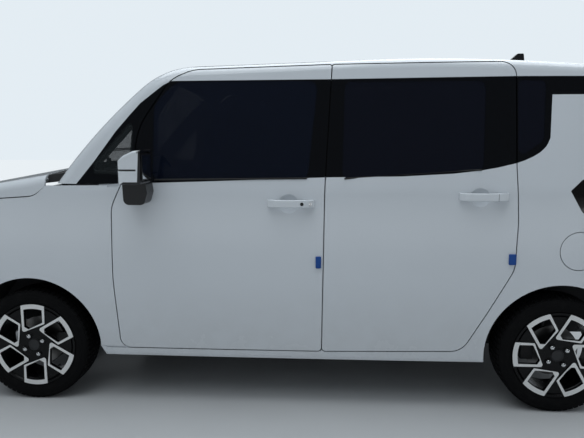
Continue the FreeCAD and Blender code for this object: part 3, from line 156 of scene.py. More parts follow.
class Shader:
    """A material with one Principled shader, and the tools to fill its sockets."""

    def __init__(self, name: str) -> None:
        """Starts an empty material."""
        self.material = bpy.data.materials.new(name)
        self.material.use_nodes = True
        self.tree = self.material.node_tree
        self.surface = self.tree.nodes["Principled BSDF"]
        self._place: Optional[tuple[Wire, Wire, Wire]] = None
        self._object: Optional[Wire] = None

    def add(self, kind: str, settings: dict, inputs: dict) -> list[Wire]:
        """Adds a node.

        Args:
            kind: The node's type.
            settings: Properties that are set before any socket.
            inputs: Values or wires by socket name or number.

        Returns:
            The node's outputs.
        """
        node = self.tree.nodes.new(kind)
        for key, value in settings.items():
            if key == "stops":
                ramp = node.color_ramp
                while len(ramp.elements) < len(value):
                    ramp.elements.new(1.0)
                for element, (position, colour) in zip(ramp.elements, value):
                    element.position = position
                    element.color = (*colour, 1.0)
            else:
                setattr(node, key, value)
        for key, value in inputs.items():
            self.fill(node.inputs[key], value)
        return [Wire(self, socket) for socket in node.outputs]

    def fill(self, socket: bpy.types.NodeSocket, value: object) -> None:
        """Links a wire to a socket, or sets the socket's own value.

        Args:
            socket: The socket that is filled.
            value: A wire, a colour or a number.
        """
        if isinstance(value, Wire):
            self.tree.links.new(value.socket, socket)
        elif isinstance(value, tuple) and len(value) == 3 and socket.type == "RGBA":
            socket.default_value = (*value, 1.0)
        else:
            socket.default_value = value

    def set(self, **values: object) -> "Shader":
        """Fills sockets of the Principled shader; underscores stand for spaces."""
        for key, value in values.items():
            self.fill(self.surface.inputs[key.replace("_", " ")], value)
        return self

    @property
    def place(self) -> Wire:
        """Object coordinates as one vector."""
        if self._object is None:
            self._object = self.add("ShaderNodeTexCoord", {}, {})[3]
        return self._object

    @property
    def xyz(self) -> tuple[Wire, Wire, Wire]:
        """Object coordinates as three numbers."""
        if self._place is None:
            self._place = tuple(self.add("ShaderNodeSeparateXYZ", {}, {0: self.place}))
        return self._place

    def noise(self, scale: float, detail: float = 2.0, vector: Optional[Wire] = None) -> Wire:
        """Noise between 0 and 1 on the object's own coordinates."""
        inputs = {"Vector": vector or self.place, "Scale": scale, "Detail": detail}
        return self.add("ShaderNodeTexNoise", {}, inputs)[0]

    def cells(self, scale: float) -> Wire:
        """Distance in a cell pattern."""
        return self.add("ShaderNodeTexVoronoi", {"feature": "F1"}, {"Vector": self.place, "Scale": scale})[0]

    def mix(self, factor: object, first: object, second: object) -> Wire:
        """Mixes two colours.

        Args:
            factor: 0 for the first colour, 1 for the second.
            first: Colour or wire.
            second: Colour or wire.

        Returns:
            The mixed colour.
        """
        node = self.tree.nodes.new("ShaderNodeMix")
        node.data_type = "RGBA"
        for number, value in ((0, factor), (6, first), (7, second)):
            self.fill(node.inputs[number], value)
        return Wire(self, node.outputs[2])

    def stretch(self, scale: Row) -> Wire:
        """Object coordinates scaled by axis, for grain that runs one way."""
        return self.add("ShaderNodeMapping", {}, {"Vector": self.place, "Scale": tuple(scale)})[0]

    def ramp(self, value: Wire, stops: Sequence[tuple[float, float]]) -> Wire:
        """A broken line through (position, height) stops, both between 0 and 1."""
        rows = [(position, (height, height, height)) for position, height in stops]
        return self.add("ShaderNodeValToRGB", {"stops": rows}, {0: value})[0]

    def bump(self, height: Wire, strength: float, depth: float) -> "Shader":
        """Raises the surface.

        Args:
            height: Height between 0 and 1.
            strength: Share of the effect.
            depth: Full height in metres.

        Returns:
            The shader.
        """
        inputs = {"Strength": strength, "Distance": depth, "Height": height}
        self.set(Normal=self.add("ShaderNodeBump", {}, inputs)[0])
        return self


# The side's black band, as (along, height) corners in metres
BAND_TOP = (
    (-0.857, 1.069), (-0.768, 1.180), (-0.666, 1.320), (-0.602, 1.394), (-0.548, 1.453), (-0.494, 1.495),
    (-0.467, 1.516), (-0.440, 1.536), (-0.405, 1.553), (-0.395, 1.5545), (0.351, 1.557), (1.178, 1.566),
    (1.60, 1.565),
)
BAND_LOW = (
    (-0.857, 1.069), (-0.634, 1.076), (-0.258, 1.087), (0.324, 1.108), (0.669, 1.113),
    (0.905, 1.126), (1.025, 1.140), (1.105, 1.154), (1.185, 1.173), (1.225, 1.187), (1.262, 1.204),
    (1.291, 1.222), (1.315, 1.244), (1.331, 1.270), (1.339, 1.296), (1.342, 1.330), (1.343, 1.481),
    (1.60, 1.482),
)


@dataclass(frozen=True)
class Paint:
    """Gloss body paint, with the window band's black film or the mirror caps' dark line if asked for."""

    name: str
    colour: Colour = (0.655, 0.69, 0.73)
    band: bool = False
    line: bool = False

    def make(self) -> bpy.types.Material:
        """Builds the material."""
        s = Shader(self.name)
        x, _, z = s.xyz
        tone = s.noise(1.3, 3.0)
        light = tuple(min(1.0, c * 1.025) for c in self.colour)
        shade = tuple(c * 0.965 for c in self.colour)
        dust = s.noise(9.0, 4.0) * (1.0 - z.step(0.24, 0.62)) * 0.3
        colour = s.mix(dust, s.mix(tone, shade, light), (0.36, 0.34, 0.31))
        rough: object = 0.22 + dust * 0.4
        coat: object = 0.9
        if self.band or self.line:
            film = self.film(s, x, z) if self.band else self.cap_line(x, z)
            colour = s.mix(film, colour, (0.0025, 0.003, 0.0045))
            rough = rough * (1.0 - film) + film * 0.12
            coat = 0.9 - film * 0.75
        s.set(Base_Color=colour, Roughness=rough, Coat_Weight=coat, Coat_Roughness=0.12, IOR=1.45)
        return s.bump(s.noise(420.0, 1.0), 0.05, 0.0004).material

    @staticmethod
    def film(s: Shader, x: Wire, z: Wire) -> Wire:
        """Mask of the band between its two edges.

        Args:
            s: The paint's shader.
            x: Place along the car.
            z: Height.

        Returns:
            1 on the band, 0 beside it.
        """
        along = (x + 0.9) / 2.5
        edges = []
        for corners in (BAND_TOP, BAND_LOW):
            stops = [((a + 0.9) / 2.5, (b - 1.0) / 0.6) for a, b in corners]
            edges.append(s.ramp(along, stops) * 0.6 + 1.0)
        top, low = edges
        inside = (top - z).step(0.0, 0.0012) * (z - low).step(0.0, 0.0012)
        return inside * (x + 0.857).step(0.0, 0.001)

    @staticmethod
    def cap_line(x: Wire, z: Wire) -> Wire:
        """Mask of the side repeater across the mirror cap."""
        return abs(z - 1.151).step(0.0044, 0.0036) * (-0.489 - x).step(0.0, 0.001)


@dataclass(frozen=True)
class Glass:
    """Tinted glass that shows a little of what is behind it."""

    name: str
    colour: Colour
    cover: float

    def make(self) -> bpy.types.Material:
        """Builds the material."""
        s = Shader(self.name)
        film = s.noise(2.2, 3.0)
        s.set(Base_Color=s.mix(film, self.colour, tuple(c * 1.35 for c in self.colour)))
        s.set(Roughness=0.02 + film * 0.025, IOR=1.45, Coat_Weight=0.12, Coat_Roughness=0.02)
        s.set(Alpha=self.cover + film * 0.03)
        s.material.surface_render_method = "BLENDED"
        return s.bump(s.noise(3.0, 1.0), 0.02, 0.002).material


@dataclass(frozen=True)
class Plastic:
    """Moulded plastic or rubber with a fine leather-like grain."""

    name: str
    colour: Colour
    rough: float = 0.55
    grain: float = 700.0
    depth: float = 0.0003

    def make(self) -> bpy.types.Material:
        """Builds the material."""
        s = Shader(self.name)
        cells = s.cells(self.grain)
        wear = s.noise(14.0, 5.0)
        shade = tuple(c * 0.8 for c in self.colour)
        light = tuple(min(1.0, c * 1.3 + 0.004) for c in self.colour)
        s.set(Base_Color=s.mix(wear, shade, light), Roughness=self.rough - 0.06 + wear * 0.12)
        return s.bump(cells, 0.35, self.depth).material


@dataclass(frozen=True)
class Metal:
    """Bare or painted metal; rust adds brown patches."""

    name: str
    colour: Colour
    rough: float = 0.35
    metallic: float = 1.0
    rust: float = 0.0
    turned: bool = False
    shine: float = 0.5

    def make(self) -> bpy.types.Material:
        """Builds the material."""
        s = Shader(self.name)
        patch = s.noise(18.0, 6.0)
        shade = tuple(c * 0.82 for c in self.colour)
        colour = s.mix(patch, shade, self.colour)
        mask = patch.step(0.62 - 0.25 * self.rust, 0.78) * self.rust
        colour = s.mix(mask, colour, (0.16, 0.07, 0.03))
        rough = self.rough + patch * 0.12 + mask * 0.3
        s.set(Base_Color=colour, Metallic=self.metallic * (1.0 - mask), Roughness=rough)
        s.set(Specular_IOR_Level=self.shine)
        grain = s.noise(260.0, 2.0, s.stretch((1.0, 1.0, 8.0)) if self.turned else None)
        return s.bump(grain, 0.12, 0.0003).material


@dataclass(frozen=True)
class Fabric:
    """Woven seat cloth: two thread directions on the object's coordinates."""

    name: str
    colour: Colour
    thread: float = 1900.0

    def make(self) -> bpy.types.Material:
        """Builds the material."""
        s = Shader(self.name)
        x, y, z = s.xyz
        across = (y * self.thread).sine() * 0.5 + 0.5
        along = ((x + z) * self.thread).sine() * 0.5 + 0.5
        weave = across * along
        fuzz = s.noise(60.0, 4.0)
        light = tuple(c * 1.6 + 0.01 for c in self.colour)
        s.set(Base_Color=s.mix(weave * 0.6 + fuzz * 0.4, self.colour, light))
        s.set(Roughness=0.8 + fuzz * 0.15, Sheen_Weight=0.35, Sheen_Roughness=0.5)
        return s.bump(weave, 0.4, 0.0006).material


@dataclass(frozen=True)
class Lens:
    """Coloured lamp lens over ribbed optics."""

    name: str
    colour: Colour
    cover: float = 1.0
    ribs: float = 420.0

    def make(self) -> bpy.types.Material:
        """Builds the material."""
        s = Shader(self.name)
        _, y, z = s.xyz
        ribs = (y * self.ribs).sine() * (z * self.ribs).sine() * 0.5 + 0.5
        shade = tuple(c * 0.45 for c in self.colour)
        s.set(Base_Color=s.mix(ribs, shade, self.colour), Roughness=0.08 + ribs * 0.05)
        s.set(Coat_Weight=0.8, Coat_Roughness=0.02, Alpha=self.cover + ribs * 0.02)
        if self.cover < 1.0:
            s.material.surface_render_method = "BLENDED"
        return s.bump(ribs, 0.25, 0.0008).material


@dataclass(frozen=True)
class Rubber:
    """Tyre rubber: dull black, dusted grey where it has run."""

    name: str
    colour: Colour = (0.0035, 0.0035, 0.004)

    def make(self) -> bpy.types.Material:
        """Builds the material."""
        s = Shader(self.name)
        dust = s.noise(26.0, 6.0)
        s.set(Base_Color=s.mix(dust.step(0.50, 0.90) * 0.35, self.colour, (0.020, 0.0195, 0.018)))
        s.set(Roughness=0.68 + dust * 0.2, Specular_IOR_Level=0.12)
        return s.bump(s.noise(900.0, 3.0), 0.3, 0.0004).material


FINISHES: dict[str, object] = {
    "paint": Paint("body_paint_white"),
    "paint_band": Paint("body_paint_with_band", band=True),
    "paint_cap": Paint("mirror_cap_paint", line=True),
    "glass_dark": Glass("privacy_glass", (0.004, 0.005, 0.010), 0.93),
    "glass_side": Glass("door_glass_tint", (0.004, 0.006, 0.013), 0.88),
    "glass_clear": Glass("screen_glass", (0.02, 0.024, 0.026), 0.42),
    "black": Plastic("black_grained_plastic", (0.018, 0.018, 0.02)),
    "black_smooth": Plastic("black_smooth_plastic", (0.006, 0.006, 0.0075), 0.3, 400.0, 0.0001),
    "trim_dark": Plastic("cabin_trim_dark", (0.032, 0.033, 0.036), 0.6, 520.0, 0.0005),
    "trim_light": Plastic("cabin_trim_light", (0.36, 0.35, 0.33), 0.7, 620.0, 0.0004),
    "seal": Plastic("rubber_seal", (0.012, 0.012, 0.012), 0.75, 900.0, 0.0002),
    "carpet": Fabric("floor_carpet", (0.020, 0.020, 0.022), 900.0),
    "cloth": Fabric("seat_cloth_dark", (0.038, 0.039, 0.044)),
    "cloth_light": Fabric("seat_cloth_insert", (0.135, 0.139, 0.150), 1300.0),
    "rubber": Rubber("tyre_rubber"),
    "rim_black": Metal("wheel_gloss_black", (0.0030, 0.0030, 0.0035), 0.22, 0.0, shine=0.2),
    "rim_bright": Metal("wheel_turned_edge", (0.88, 0.88, 0.87), 0.40, 0.2, turned=True),
    "steel": Metal("bare_steel", (0.50, 0.49, 0.47), 0.3),
    "chrome": Metal("bright_plating", (0.86, 0.87, 0.88), 0.06),
    # Brake disc: its iron grey is darkened as painted shade, for the shadow inside the wheel; the rust
    # patches are real.
    "disc": Metal("brake_disc_iron", (0.24, 0.235, 0.23), 0.34, rust=0.3, turned=True),
    "cast": Metal("cast_iron", (0.17, 0.17, 0.17), 0.55, 0.8, rust=0.4),
    "under": Metal("underbody_coat", (0.035, 0.035, 0.038), 0.6, 0.1, rust=0.15),
    "alloy": Metal("cast_alloy", (0.45, 0.45, 0.46), 0.5, 0.9),
    "exhaust": Metal("exhaust_steel", (0.30, 0.28, 0.26), 0.45, rust=0.6),
    "lamp_red": Lens("lamp_lens_red", (0.42, 0.008, 0.012)),
    "lamp_smoke": Lens("lamp_lens_smoked", (0.0035, 0.002, 0.0025), 1.0, 40.0),
    "lamp_amber": Lens("lamp_lens_amber", (0.75, 0.22, 0.02)),
    "lamp_white": Lens("lamp_lens_white", (0.78, 0.78, 0.76)),
    "lamp_cover": Lens("lamp_cover_clear", (0.55, 0.57, 0.60), 0.16, 60.0),
    "guard": Plastic("edge_guard_foam_blue", (0.010, 0.068, 0.29), 0.85, 1500.0, 0.0006),
    "plate": Metal("plate_blank_white", (0.78, 0.79, 0.77), 0.35, 0.0),
    "mirror": Metal("mirror_silver", (0.80, 0.82, 0.85), 0.02),
}
_made: dict[str, bpy.types.Material] = {}


def finish(key: str) -> bpy.types.Material:
    """The finish of that key, made at its first use."""
    if key not in _made:
        _made[key] = FINISHES[key].make()
    return _made[key]


# Modelling bench


class Bench:
    """Adds, shapes and finishes one mesh at a time with the usual modelling tools."""

    @staticmethod
    def pick(obj: bpy.types.Object) -> bpy.types.Object:
        """Makes obj the only selected and the active object."""
        bpy.ops.object.select_all(action="DESELECT")
        obj.select_set(True)
        bpy.context.view_layer.objects.active = obj
        return obj

    @staticmethod
    def start(name: str) -> bpy.types.Object:
        """Names the primitive that was just added, with its place in its mesh."""
        obj = bpy.context.object
        obj.name = obj.data.name = name
        Bench.pick(obj)
        bpy.ops.object.transform_apply(location=True, rotation=True, scale=True)
        return obj

    @staticmethod
    def block(name: str, low: Row, high: Row, bevel: float = 0.0, segments: int = 2,
              at: Row = (0, 0, 0)) -> bpy.types.Object:
        """A block between two corners.

        Args:
            name: The part's name.
            low: Lowest corner.
            high: Highest corner.
            bevel: Width of its rounded edges.
            segments: Faces across a rounded edge.
            at: Spot from which the corners are measured.

        Returns:
            The new object.
        """
        low_corner, high_corner = Vector(low) + Vector(at), Vector(high) + Vector(at)
        middle, size = (low_corner + high_corner) / 2, high_corner - low_corner
        bpy.ops.mesh.primitive_cube_add(size=1.0, location=middle, scale=size)
        obj = Bench.start(name)
        return Bench.soften(obj, bevel, segments) if bevel else obj

    @staticmethod
    def drum(name: str, centre: Row, radius: float, depth: float, axis: Row = (0, 1, 0),
             sides: int = 32, bevel: float = 0.0, tip: Optional[float] = None) -> bpy.types.Object:
        """A cylinder or a cone about any axis.

        Args:
            name: The part's name.
            centre: Its middle.
            radius: Radius, or a cone's radius at its foot.
            depth: Length along the axis.
            axis: Direction from foot to tip.
            sides: Faces round it.
            bevel: Width of its rounded edges.
            tip: A cone's radius at its tip.

        Returns:
            The new object.
        """
        turn = Vector(axis).to_track_quat("Z", "Y").to_euler()
        end = radius if tip is None else tip
        bpy.ops.mesh.primitive_cone_add(vertices=sides, radius1=radius, radius2=end, depth=depth,
                                        location=centre, rotation=turn)
        obj = Bench.start(name)
        return Bench.soften(obj, bevel, 2, math.radians(50)) if bevel else obj

    @staticmethod
    def ball(name: str, centre: Row, radii: Row, segments: int = 24) -> bpy.types.Object:
        """A ball or an egg with its own radius along each axis."""
        bpy.ops.mesh.primitive_uv_sphere_add(segments=segments, ring_count=segments // 2, radius=1.0,
                                             location=centre, scale=radii)
        return Bench.start(name)

    @staticmethod
    def hoop(name: str, centre: Row, radius: float, thick: float, axis: Row = (0, 1, 0),
             around: int = 48, across: int = 10) -> bpy.types.Object:
        """A ring of round section about any axis.

        Args:
            name: The part's name.
            centre: Its middle.
            radius: Radius to the middle of the section.
            thick: Radius of the section.
            axis: Direction of its axis.
            around: Faces round the ring.
            across: Faces round the section.

        Returns:
            The new object.
        """
        turn = Vector(axis).to_track_quat("Z", "Y").to_euler()
        bpy.ops.mesh.primitive_torus_add(major_radius=radius, minor_radius=thick, major_segments=around,
                                         minor_segments=across, location=centre, rotation=turn)
        return Bench.start(name)

    @staticmethod
    @contextmanager
    def editing(obj: bpy.types.Object, test: Test) -> Iterator[bool]:
        """Edit mode on obj with some of its faces selected.

        Args:
            obj: The mesh.
            test: Whether a face is chosen, by its centre and normal.

        Yields:
            Whether any face is chosen.
        """
        Bench.pick(obj)
        bpy.ops.object.mode_set(mode="EDIT")
        bpy.ops.mesh.select_mode(type="FACE")
        bpy.ops.mesh.select_all(action="DESELECT")
        mesh = bmesh.from_edit_mesh(obj.data)
        mesh.normal_update()
        for face in mesh.faces:
            face.select = bool(test(face.calc_center_median(), face.normal))
        mesh.select_flush_mode()
        bmesh.update_edit_mesh(obj.data)
        yield any(face.select for face in mesh.faces)
        bpy.ops.object.mode_set(mode="OBJECT")

    @staticmethod
    def inset(obj: bpy.types.Object, test: Test, width: float, depth: float = 0.0) -> None:
        """Insets the chosen faces by a width and moves them along their normal."""
        with Bench.editing(obj, test) as chosen:
            if chosen:
                bpy.ops.mesh.inset(thickness=width, depth=depth)

    @staticmethod
    def pull(obj: bpy.types.Object, test: Test, move: Row) -> None:
        """Extrudes the chosen faces by a move."""
        with Bench.editing(obj, test) as chosen:
            if chosen:
                bpy.ops.mesh.extrude_region_move(TRANSFORM_OT_translate={"value": tuple(move)})

    @staticmethod
    def shift(obj: bpy.types.Object, test: Test, move: Row, scale: Row = (1, 1, 1)) -> None:
        """Moves the chosen faces and scales them about their own middle."""
        with Bench.editing(obj, test) as chosen:
            if chosen:
                bpy.ops.transform.translate(value=tuple(move))
                bpy.ops.transform.resize(value=tuple(scale))

    @staticmethod
    def modify(obj: bpy.types.Object, kind: str, **values: object) -> bpy.types.Object:
        """Adds a modifier, sets it and applies it.

        Args:
            obj: The mesh.
            kind: Blender's name of the modifier.
            values: The modifier's settings.

        Returns:
            The mesh.
        """
        Bench.pick(obj)
        modifier = obj.modifiers.new(kind.title(), kind)
        for key, value in values.items():
            setattr(modifier, key, value)
        bpy.ops.object.modifier_apply(modifier=modifier.name)
        return obj

    @staticmethod
    def soften(obj: bpy.types.Object, width: float, segments: int = 2,
               angle: float = math.radians(30)) -> bpy.types.Object:
        """Rounds the edges that are sharper than the angle."""
        return Bench.modify(obj, "BEVEL", width=width, segments=segments, limit_method="ANGLE",
                            angle_limit=angle, use_clamp_overlap=True)

    @staticmethod
    def smooth(obj: bpy.types.Object, degrees: float = 35.0) -> bpy.types.Object:
        """Smooth shading where faces meet at less than the angle."""
        Bench.pick(obj)
        bpy.ops.object.shade_smooth_by_angle(angle=math.radians(degrees))
        return obj

    @staticmethod
    def outline(name: str, points: Sequence[Row], thick: Row, bevel: float = 0.0) -> bpy.types.Object:
        """A flat plate with the given corners, given a thickness along a vector.

        Args:
            name: The part's name.
            points: Corners in order, in metres.
            thick: Extrusion from the corners' plane.
            bevel: Width of the rounded edges.

        Returns:
            The new object.
        """
        bpy.ops.mesh.primitive_circle_add(vertices=len(points), radius=1.0, fill_type="NGON")
        obj = Bench.start(name)
        for vertex, point in zip(obj.data.vertices, points):
            vertex.co = Vector(point)
        obj.data.update()
        Bench.pull(obj, lambda c, n: True, thick)
        Bench.outwards(obj)
        return Bench.soften(obj, bevel) if bevel else obj

    @staticmethod
    def outwards(obj: bpy.types.Object) -> None:
        """Merges doubles and turns all faces outwards."""
        Bench.pick(obj)
        bpy.ops.object.mode_set(mode="EDIT")
        bpy.ops.mesh.select_all(action="SELECT")
        bpy.ops.mesh.remove_doubles(threshold=0.00001)
        bpy.ops.mesh.normals_make_consistent(inside=False)
        bpy.ops.object.mode_set(mode="OBJECT")

    @staticmethod
    def tube(name: str, points: Sequence[Row], radius: float, sides: int = 4,
             smooth: bool = True) -> bpy.types.Object:
        """A round bar along a line.

        Args:
            name: The part's name.
            points: The line's points.
            radius: Radius of the bar.
            sides: Fineness of its section.
            smooth: Whether the line is rounded at its points.

        Returns:
            The new object.
        """
        curve = bpy.data.curves.new(name, "CURVE")
        curve.dimensions = "3D"
        curve.bevel_depth = radius
        curve.bevel_resolution = sides
        curve.use_fill_caps = True
        spline = curve.splines.new("NURBS" if smooth else "POLY")
        spline.points.add(len(points) - 1)
        for slot, point in zip(spline.points, points):
            slot.co = (*point, 1.0)
        if smooth:
            spline.order_u = 3
            spline.use_endpoint_u = True
            spline.resolution_u = 6
        holder = bpy.data.objects.new(name, curve)
        bpy.context.scene.collection.objects.link(holder)
        Bench.pick(holder)
        bpy.ops.object.convert(target="MESH")
        obj = bpy.context.object
        obj.name = obj.data.name = name
        return Bench.smooth(obj, 60.0)

    @staticmethod
    def coil(name: str, centre: Row, radius: float, wire: float, height: float,
             turns: int) -> bpy.types.Object:
        """A round-wire spring.

        Args:
            name: The part's name.
            centre: Middle of its foot.
            radius: Radius to the middle of the wire.
            wire: Radius of the wire.
            height: Height of the spring.
            turns: Number of its turns.

        Returns:
            The new object.
        """
        x, y, z = centre
        steps = turns * 16
        points = [(x + radius * math.cos(math.tau * i / 16), y + radius * math.sin(math.tau * i / 16),
                   z + height * i / steps) for i in range(steps + 1)]
        return Bench.tube(name, points, wire, 2)

    @staticmethod
    def coated(obj: bpy.types.Object, key: str) -> bpy.types.Object:
        """Gives a mesh the finish of that key in place of any other."""
        obj.data.materials.clear()
        obj.data.materials.append(finish(key))
        return obj

    @staticmethod
    def patch(obj: bpy.types.Object, key: str, test: Test) -> None:
        """Gives some faces another finish.

        Args:
            obj: The mesh.
            key: The faces' finish.
            test: Whether a face gets it, by its centre and normal.
        """
        obj.data.materials.append(finish(key))
        index = len(obj.data.materials) - 1
        for polygon in obj.data.polygons:
            if test(polygon.center, polygon.normal):
                polygon.material_index = index

    @staticmethod
    def twin(obj: bpy.types.Object, name: str, matrix: Matrix) -> bpy.types.Object:
        """A copy with its own mesh.

        Args:
            obj: What is copied.
            name: The copy's name.
            matrix: Move, turn or mirror of its mesh.

        Returns:
            The copy.
        """
        copy = obj.copy()
        copy.data = obj.data.copy()
        copy.name = copy.data.name = name
        bpy.context.scene.collection.objects.link(copy)
        copy.data.transform(matrix)
        if matrix.determinant() < 0:
            copy.data.flip_normals()
        return copy

    @staticmethod
    def join(name: str, parts: Sequence[bpy.types.Object]) -> bpy.types.Object:
        """Joins meshes into the first one.

        Args:
            name: Name of the joined mesh.
            parts: The meshes, in order.

        Returns:
            The joined mesh.
        """
        bpy.ops.object.select_all(action="DESELECT")
        for part in parts:
            part.select_set(True)
        bpy.context.view_layer.objects.active = parts[0]
        if len(parts) > 1:
            bpy.ops.object.join()
        obj = bpy.context.object
        obj.name = obj.data.name = name
        return obj

    @staticmethod
    def dress(obj: bpy.types.Object, body: str, slot: str, replaces: Sequence[str] = ()) -> None:
        """Puts a finished piece on the body that it rides on.

        Args:
            obj: The piece.
            body: CAD body that carries it.
            slot: Not used.
            replaces: CAD nodes that it stands for.
        """
        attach(obj, body)
        if replaces:
            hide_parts(*replaces)
        log.info("piece %s on %s", obj.name, body)


MIRROR_Y = Matrix.Scale(-1.0, 4, (0, 1, 0))


class Kit:
    """The parts of one piece, each made with its finish and joined at the end."""

    def __init__(self) -> None:
        """Starts with no part."""
        self.parts: list[bpy.types.Object] = []

    def add(self, key: str, obj: bpy.types.Object) -> bpy.types.Object:
        """Takes a part in and gives it the finish of that key."""
        self.parts.append(Bench.coated(obj, key))
        return obj

    def block(self, key: str, *form: object, **more: object) -> bpy.types.Object:
        """A block of that finish."""
        return self.add(key, Bench.block(*form, **more))

    def drum(self, key: str, *form: object, **more: object) -> bpy.types.Object:
        """A drum of that finish."""
        return self.add(key, Bench.drum(*form, **more))

    def ball(self, key: str, *form: object, **more: object) -> bpy.types.Object:
        """A ball of that finish."""
        return self.add(key, Bench.ball(*form, **more))

    def hoop(self, key: str, *form: object, **more: object) -> bpy.types.Object:
        """A hoop of that finish."""
        return self.add(key, Bench.hoop(*form, **more))

    def tube(self, key: str, *form: object, **more: object) -> bpy.types.Object:
        """A tube of that finish."""
        return self.add(key, Bench.tube(*form, **more))

    def plate(self, key: str, *form: object, **more: object) -> bpy.types.Object:
        """An outlined plate of that finish."""
        return self.add(key, Bench.outline(*form, **more))

    def joined(self, name: str, smooth: float = 35.0) -> bpy.types.Object:
        """All parts as one mesh; smooth is an angle in degrees, and 0 leaves the parts as they are."""
        obj = Bench.join(name, self.parts)
        return Bench.smooth(obj, smooth) if smooth else obj

    def piece(self, name: str, body: str = "body", slot: str = "black_plastic", smooth: float = 35.0,
              replaces: Sequence[str] = ()) -> None:
        """Joins the parts into one piece that rides on a body.

        Args:
            name: The piece's name.
            body: CAD body that carries it.
            slot: Material slot of the record.
            smooth: Angle of smooth shading in degrees, or 0.
            replaces: CAD nodes that it stands for.
        """
        Bench.dress(self.joined(name, smooth), body, slot, replaces)

    def pair(self, name: str, body: str = "body", slot: str = "black_plastic", smooth: float = 40.0) -> None:
        """Joins left-hand parts and makes the left and the right piece of them.

        Args:
            name: Name of the pieces, before _left and _right.
            body: Carrying body, where {} stands for the side's word.
            slot: Material slot of the record.
            smooth: Angle of smooth shading in degrees.
        """
        source = self.joined(name + "_source", smooth)
        for side in Side:
            piece = Bench.twin(source, f"{name}_{side.word}", placed(side))
            Bench.dress(piece, body.format(side.word), slot)
        bpy.data.objects.remove(source)


def placed(side: Side) -> Matrix:
    """Identity for the left side, a mirror for the right."""
    return Matrix.Identity(4) if side is Side.LEFT else MIRROR_Y


def spaced(low: float, high: float, count: int) -> list[float]:
    """Numbers at equal steps from low to high."""
    return [low + (high - low) * i / (count - 1) for i in range(count)]


class Skin:
    """The outside of some CAD nodes, for placing pieces on them."""

    def __init__(self, *nodes: str) -> None:
        """Reads the faces of the nodes with those names."""
        verts: list[Vector] = []
        faces: list[tuple[int, ...]] = []
        for node in nodes:
            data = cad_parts[node].data
            start = len(verts)
            verts += [vertex.co.copy() for vertex in data.vertices]
            faces += [tuple(start + i for i in polygon.vertices) for polygon in data.polygons]
        self.tree = BVHTree.FromPolygons(verts, faces)

    def hit(self, start: Row, towards: Row) -> tuple[Vector, Vector]:
        """Finds where a line meets the nodes.

        Args:
            start: Where the line starts.
            towards: Its direction.

        Returns:
            The first point met and the outward normal there.
        """
        point, normal, _, _ = self.tree.ray_cast(Vector(start), Vector(towards))
        if point is None:
            raise ValueError(f"nothing is met from {tuple(start)} along {tuple(towards)}")
        return point, -normal if normal.dot(Vector(towards)) > 0 else normal

    def above(self, start: Row, towards: Row, lift: float) -> Vector:
        """The point that a line meets, lifted off the surface."""
        point, normal = self.hit(start, towards)
        return point + normal * lift

    def side(self, x: float, z: float, lift: float = 0.0) -> Vector:
        """Point on the left body side."""
        return self.above((x, -2.0, z), (0, 1, 0), lift)

    def front(self, y: float, z: float, lift: float = 0.0) -> Vector:
        """Point on the nose."""
        return self.above((-3.0, y, z), (1, 0, 0), lift)

    def rear(self, y: float, z: float, lift: float = 0.0) -> Vector:
        """Point on the tail."""
        return self.above((3.0, y, z), (-1, 0, 0), lift)

    def top(self, x: float, y: float, lift: float = 0.0) -> Vector:
        """Point on the roof or bonnet."""
        return self.above((x, y, 3.0), (0, 0, -1), lift)

    def board(self, y: float, z: float) -> tuple[Vector, Vector]:
        """Point and normal on the dashboard's face towards the seats."""
        return self.hit((0.5, y, z), (-1, 0, 0))


# The car's looks


